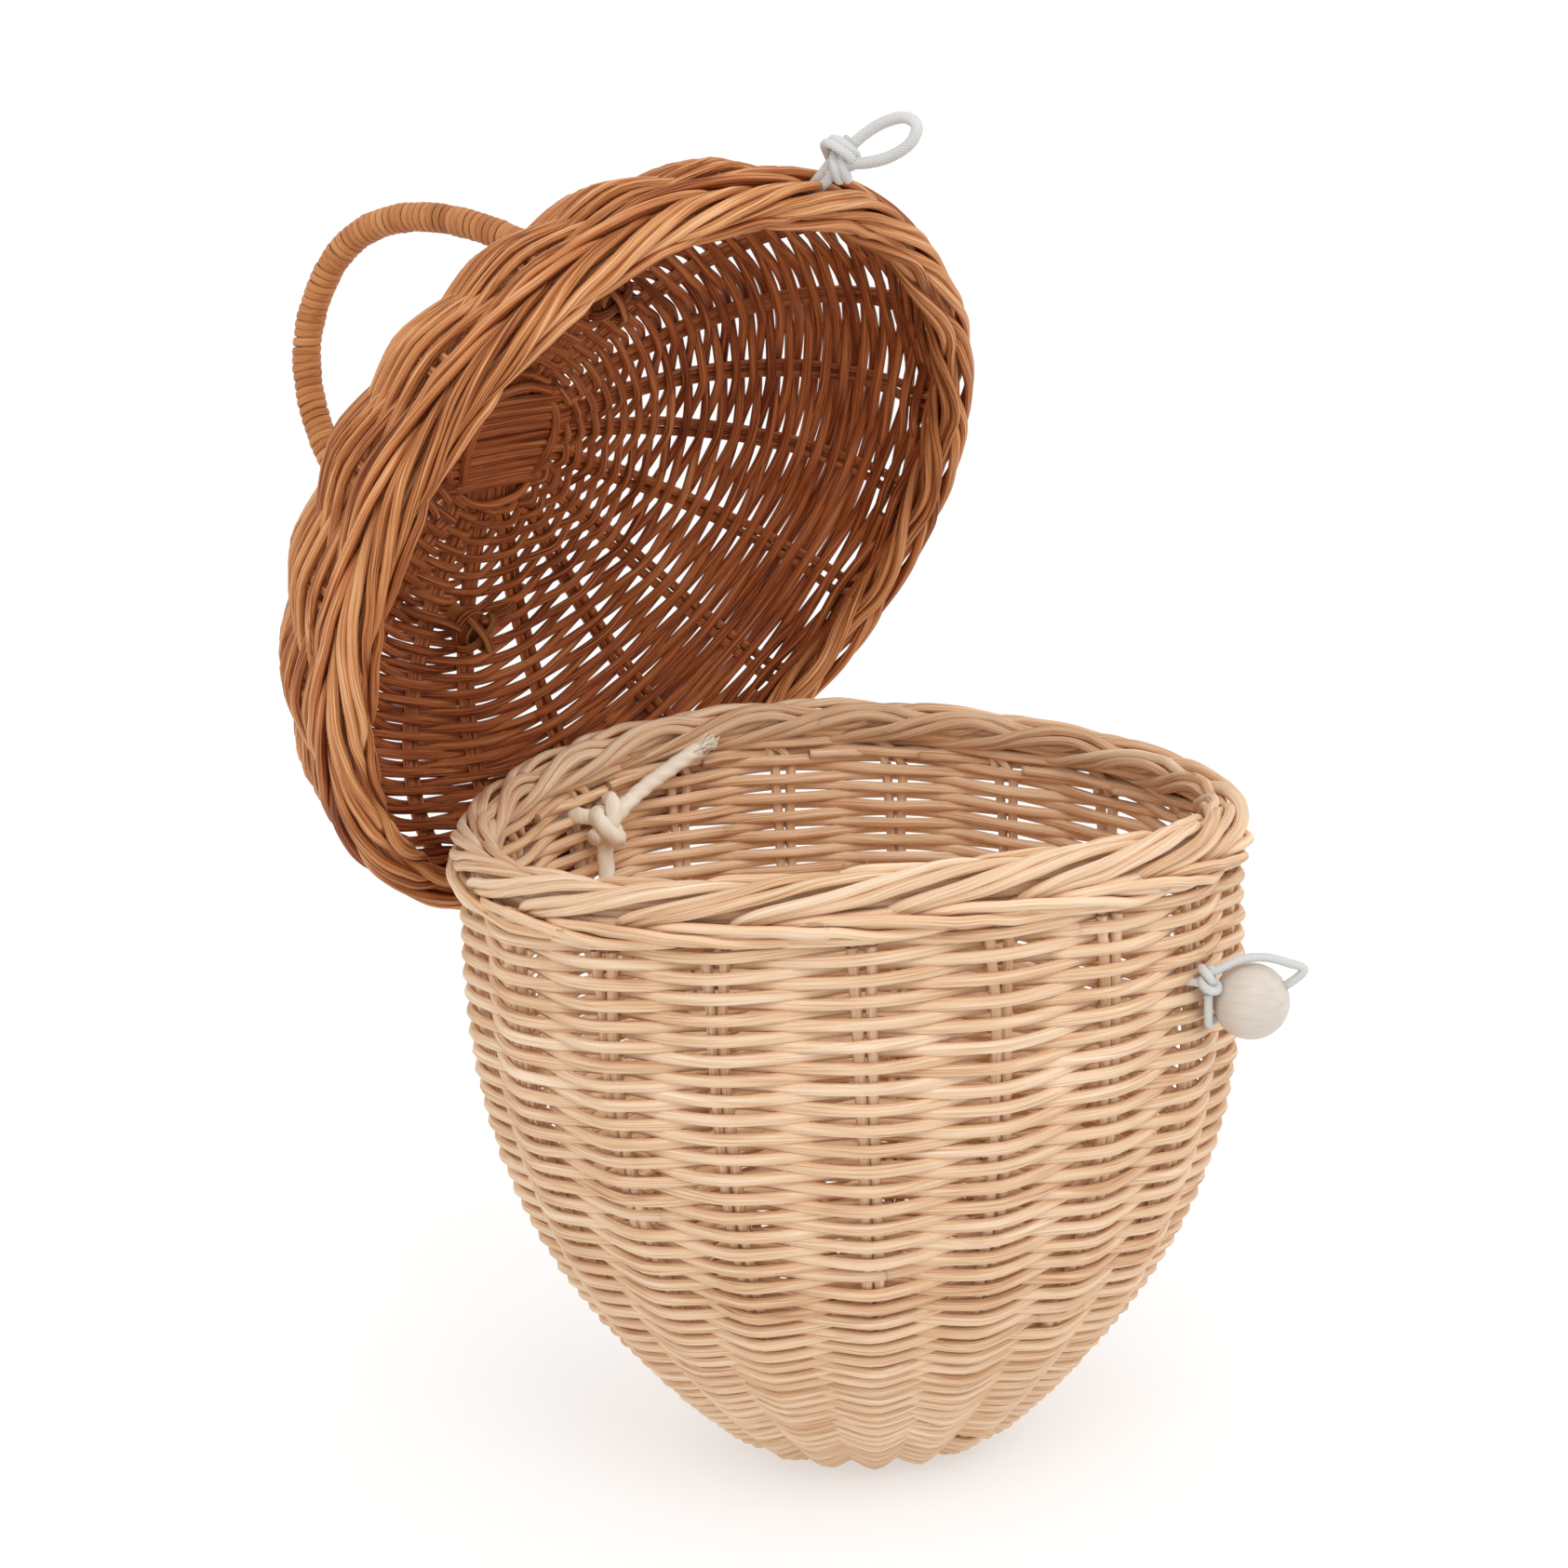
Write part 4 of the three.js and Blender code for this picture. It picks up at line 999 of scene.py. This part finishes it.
# Hinge tie: two strands through the wall and down to the lid, bowed so that they don't fold when it shuts, a
# loop round the lid's border and through the dome, a knot inside with a frayed tail and a hanging end
tie = {
    "radius": 2.15, "height": 149.0, "beside": 5.3, "knot": np.array([0.0, 84.95, 146.0]), "end": 33.0,
    "tail reach": 32.0, "tail rise": 15.0, "tail radius": 86.8,
    "lid back": np.array([0.0, 106.9, 127.0]), "hold": 7.3, "hold turns": np.radians([180, 225, 270, 315]),
}


# a cotton cord, which without a body stretches between the basket and the lid
def cottonCord(name, path, first, body, replaced):
    strands = laid(path, tie["radius"], first)
    obj = addPiece(name, strands, cottonPaint, None, body, "cotton_cord", replaced)
    if not body:
        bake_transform(obj)


lidOut, lidUp = np.array([0, tipCos, -tipSin]), np.array([0, tipSin, tipCos])
holdPoints = []
for angle in tie["hold turns"]:
    holdPoints.append(tie["lid back"] + tie["hold"] * np.array([0, math.cos(angle), math.sin(angle)]))
for label, way in (("right", 1), ("left", -1)):
    aside = np.array([way * tie["beside"], 0, 0])
    route = [(0, 88.5, tie["height"]), (0, 97.4, tie["height"]), (0, 102.6, 145.8), (0, 103.0, 138.0)]
    path = through(np.array(route + holdPoints[:2]) + aside, 0.6)
    cottonCord(f"tie_strand_{label}", path, (1, 0, 0), None, "hinge_tie")
aside = np.array([tie["beside"], 0, 0])
half = [p + aside for p in holdPoints[1:]]
for share, out, up in ((1, 5.6, 5.9), (1, 4.1, 8.6), (1, -3.3, 8.6), (0.6, -5.6, 8.6)):
    half.append(tie["lid back"] + share * aside + out * lidOut + up * lidUp)
path = through(half + [p * (-1, 1, 1) for p in half[::-1]], 0.6)
cottonCord("tie_hold", path, (1, 0, 0), "lid", "hinge_tie")

shares = np.array([0.4, 0.7, 1.0])
turn = shares * tie["tail reach"] / tie["tail radius"]
tailPoints = around(tie["tail radius"], np.pi - turn, tie["knot"][2] + shares * tie["tail rise"])
path = through(np.vstack([tie["knot"] + (1.0, -0.5, 1.0), tailPoints]), 0.6)
fray = {
    "hairs": 90, "radius": 0.22, "spread": 0.3, "root": 0.8, "sunk": 1.5,
    "straight": 2.5, "bent": (2.0, 4.5),
}
draw = np.random.default_rng(4)
flow = unit(path[-1] - path[-3])
hairs = []
for _ in range(fray["hairs"]):
    lean = unit(flow + draw.normal(0, fray["spread"], 3))
    root = path[-1] - flow * fray["sunk"] + draw.normal(0, fray["root"], 3)
    bend = root + flow * fray["straight"]
    hair = through([root, bend + lean * 0.5, bend + lean * draw.uniform(*fray["bent"])], 0.8)
    hairs.append(strand(hair, carried(hair, (0.3, 0.5, 0.8)), fray["radius"], 4, 1.0, 0.6))
addPiece("tie_tail_fray", hairs, cottonPaint, None, "basket", "cotton_cord")
cottonCord("tie_tail_cord", path, (0, 0, 1), "basket", "tie_tail")

low = tie["knot"] - (0, 0, 0.5)
path = through([low, low - (0.3, -1.0, 5.0), low - (0.9, 0, 17.0), low - (0, 0, 4.6 + tie["end"])], 0.6)
cottonCord("tie_end_cord", path, (1, 0, 0), "basket", "tie_end")

tight = tie["radius"] * 0.97
knot = overhand(tie["radius"], 9.5, 8.5)
lump = laid(setKnot(knot, tie["knot"] + (0.4, -0.6, 1.6), (0.88, 0.0, 0.47), (0, -1, 0)), tight, (0, 0, 1))
for way in (-1, 1):
    points = [(way * tie["beside"], 90.0, tie["height"]), (way * 3.6, 87.6, 148.6), (way * 1.0, 85.6, 146.8)]
    lump += laid(through(points, 0.5), tight, (0, 0, 1))
addPiece("tie_knot_cord", lump, cottonPaint, None, "basket", "cotton_cord", "tie_knot")
print("stage: hinge tie")

# Closing loop: white elastic on a knot at the front of the lid. shape is mm along the loop and to its side
loop = {
    "angle": math.radians(9), "reach": 112.9, "radius": 1.45, "length": 24.0, "half width": 4.2,
    "droop": math.radians(43), "knot": 3.6,
}
outward = around(1.0, loop["angle"], 0.0)
rise = np.array([0, 0, 1.0])
knotMiddle = outward * loop["reach"]
forward = outward * math.cos(loop["droop"]) - rise * math.sin(loop["droop"])
upward = outward * math.sin(loop["droop"]) + rise * math.cos(loop["droop"])
shape = [(loop["knot"] - 1.2, 1.5)]
for share, wide in ((0.35, 3.4), (0.62, loop["half width"]), (0.88, 3.2), (1, 0)):
    shape.append((share * loop["length"], wide))
shape += [(a, -b) for a, b in shape[-2::-1]]
path = placeLid(through([knotMiddle + forward * a + upward * b for a, b in shape], 0.6))
side = carried(path, np.cross(path[3] - path[0], path[-1] - path[0]))
strands = [strand(path, side, loop["radius"], 14)]
obj = addPiece("closing_cord", strands, elasticPaint, None, "closing_loop", "elastic_cord", "closure_loop")

# its knot and the stem through the border, both of doubled cord
doubled = overhand(1.9, 8.0, 5.0)
doubled = setKnot(doubled, knotMiddle + outward * 0.5, forward + 0.6 * upward, sideways(loop["angle"]))
side = carried(doubled, rise)
lump = [strand(doubled + way * 0.95 * side, side, 1.2, 12) for way in (-1, 1)]
stem = [knotMiddle - outward * 11.0 + rise * 4, knotMiddle - outward * 5 + rise * 2, knotMiddle + rise * 0.6]
lump += [strand(through(stem, 0.6) + way * 1.2 * rise, rise, 1.25, 12) for way in (-1, 1)]
addPiece("closing_knot", lump, elasticPaint, placeLid, "lid", "elastic_cord", "closure_knot")
print("stage: closing loop")

# Bead on its own elastic, knotted where it leaves the wall
bead = {
    "radius": 9.0, "bore": 2.0, "lip": 0.5, "cord": 1.05, "clearance": 0.3,
    "hole": math.radians(6.505156), "knot": 2.9, "knot height": 130.7,
    "middle": np.array([21.52705, -104.71006, 124.7]),
    "axis": np.array([0.56425369, -0.70923309, 0.42261826]),
}
beadOut = around(1.0, bead["hole"], 0.0)
beadSide = sideways(bead["hole"])
beadKnot = beadOut * (basket["belly"] + bead["clearance"] + bead["knot"]) + rise * bead["knot height"]
edge = math.asin((bead["bore"] + bead["lip"]) / bead["radius"])
turn = np.linspace(edge, np.pi - edge, 60)
profile = np.stack([bead["radius"] * np.sin(turn), -bead["radius"] * np.cos(turn)], -1)
lip = np.array([[bead["bore"], bead["radius"] * math.cos(edge) - 0.4]])
inside = np.linspace(lip[0, 1], -lip[0, 1], 6)
profile = np.vstack([lip * (1, -1), profile, np.stack([np.full(6, bead["bore"]), inside], -1)])
first = unit(np.cross(bead["axis"], rise))
second = np.cross(bead["axis"], first)
circle = np.linspace(0, 2 * np.pi, 72, endpoint=False)[:, None]
ring = np.cos(circle) * first + np.sin(circle) * second
rings = bead["middle"] + profile[:, 1][:, None, None] * bead["axis"] + profile[:, 0][:, None, None] * ring
turned = {
    "rings": rings, "length": profile[:, 1], "tone": np.full(len(profile), 0.5),
    "inward": np.zeros(rings.shape[:2]), "open": True,
}
addPiece("wooden_bead", [turned], beadPaint, None, "bead", "bead_wood", "bead")

# the elastic leaves its knot, goes over the bead, back through its bore and up to the knot behind it
clear = bead["radius"] + bead["cord"] + bead["clearance"]
knotReach = bead["knot"] + bead["cord"] + bead["clearance"]
over = [(-0.3, -0.1, 1.03), (0.12, 0.32, 1.03), (0.42, 0.72, 0.88), (0.62, 1.02, 0.72)]
behind = [(-0.7, -0.68, -0.45), (-0.85, -0.62, -0.2)]


def besideBead(a, b, c):
    return bead["middle"] + clear * (a * beadSide + b * beadOut + c * rise)


spots = [beadKnot + rise * 0.8 * knotReach * 0.6 + beadSide * 0.6 * knotReach * 0.6]
spots += [besideBead(*spot) for spot in over]
spots += [bead["middle"] + share * bead["radius"] * bead["axis"] for share in (1.12, 0.6, -0.9)]
spots += [besideBead(*spot) for spot in behind]
spots.append(beadKnot - rise * 0.6 * knotReach)
path = through(spots, 0.5)
strands = [strand(path, carried(path, beadSide), bead["cord"], 12)]
obj = addPiece("bead_elastic", strands, elasticPaint, None, "bead_loop", "elastic_cord", "bead_cord")
knot = overhand(bead["cord"], 5.5, 3.4)
knot = setKnot(knot, beadKnot + rise * 0.8, rise + 0.3 * beadSide, beadOut, 0.4)
lump = [strand(knot, carried(knot, beadOut), bead["cord"], 12)]
stem = through([beadKnot - beadOut * 11.0, beadKnot - beadOut * 4, beadKnot], 0.5)
lump += [strand(stem + way * 0.9 * beadSide, rise, bead["cord"] * 0.95, 10) for way in (-1, 1)]
addPiece("bead_knot_cord", lump, elasticPaint, None, "basket", "elastic_cord", "bead_knot")
print("stage: bead")
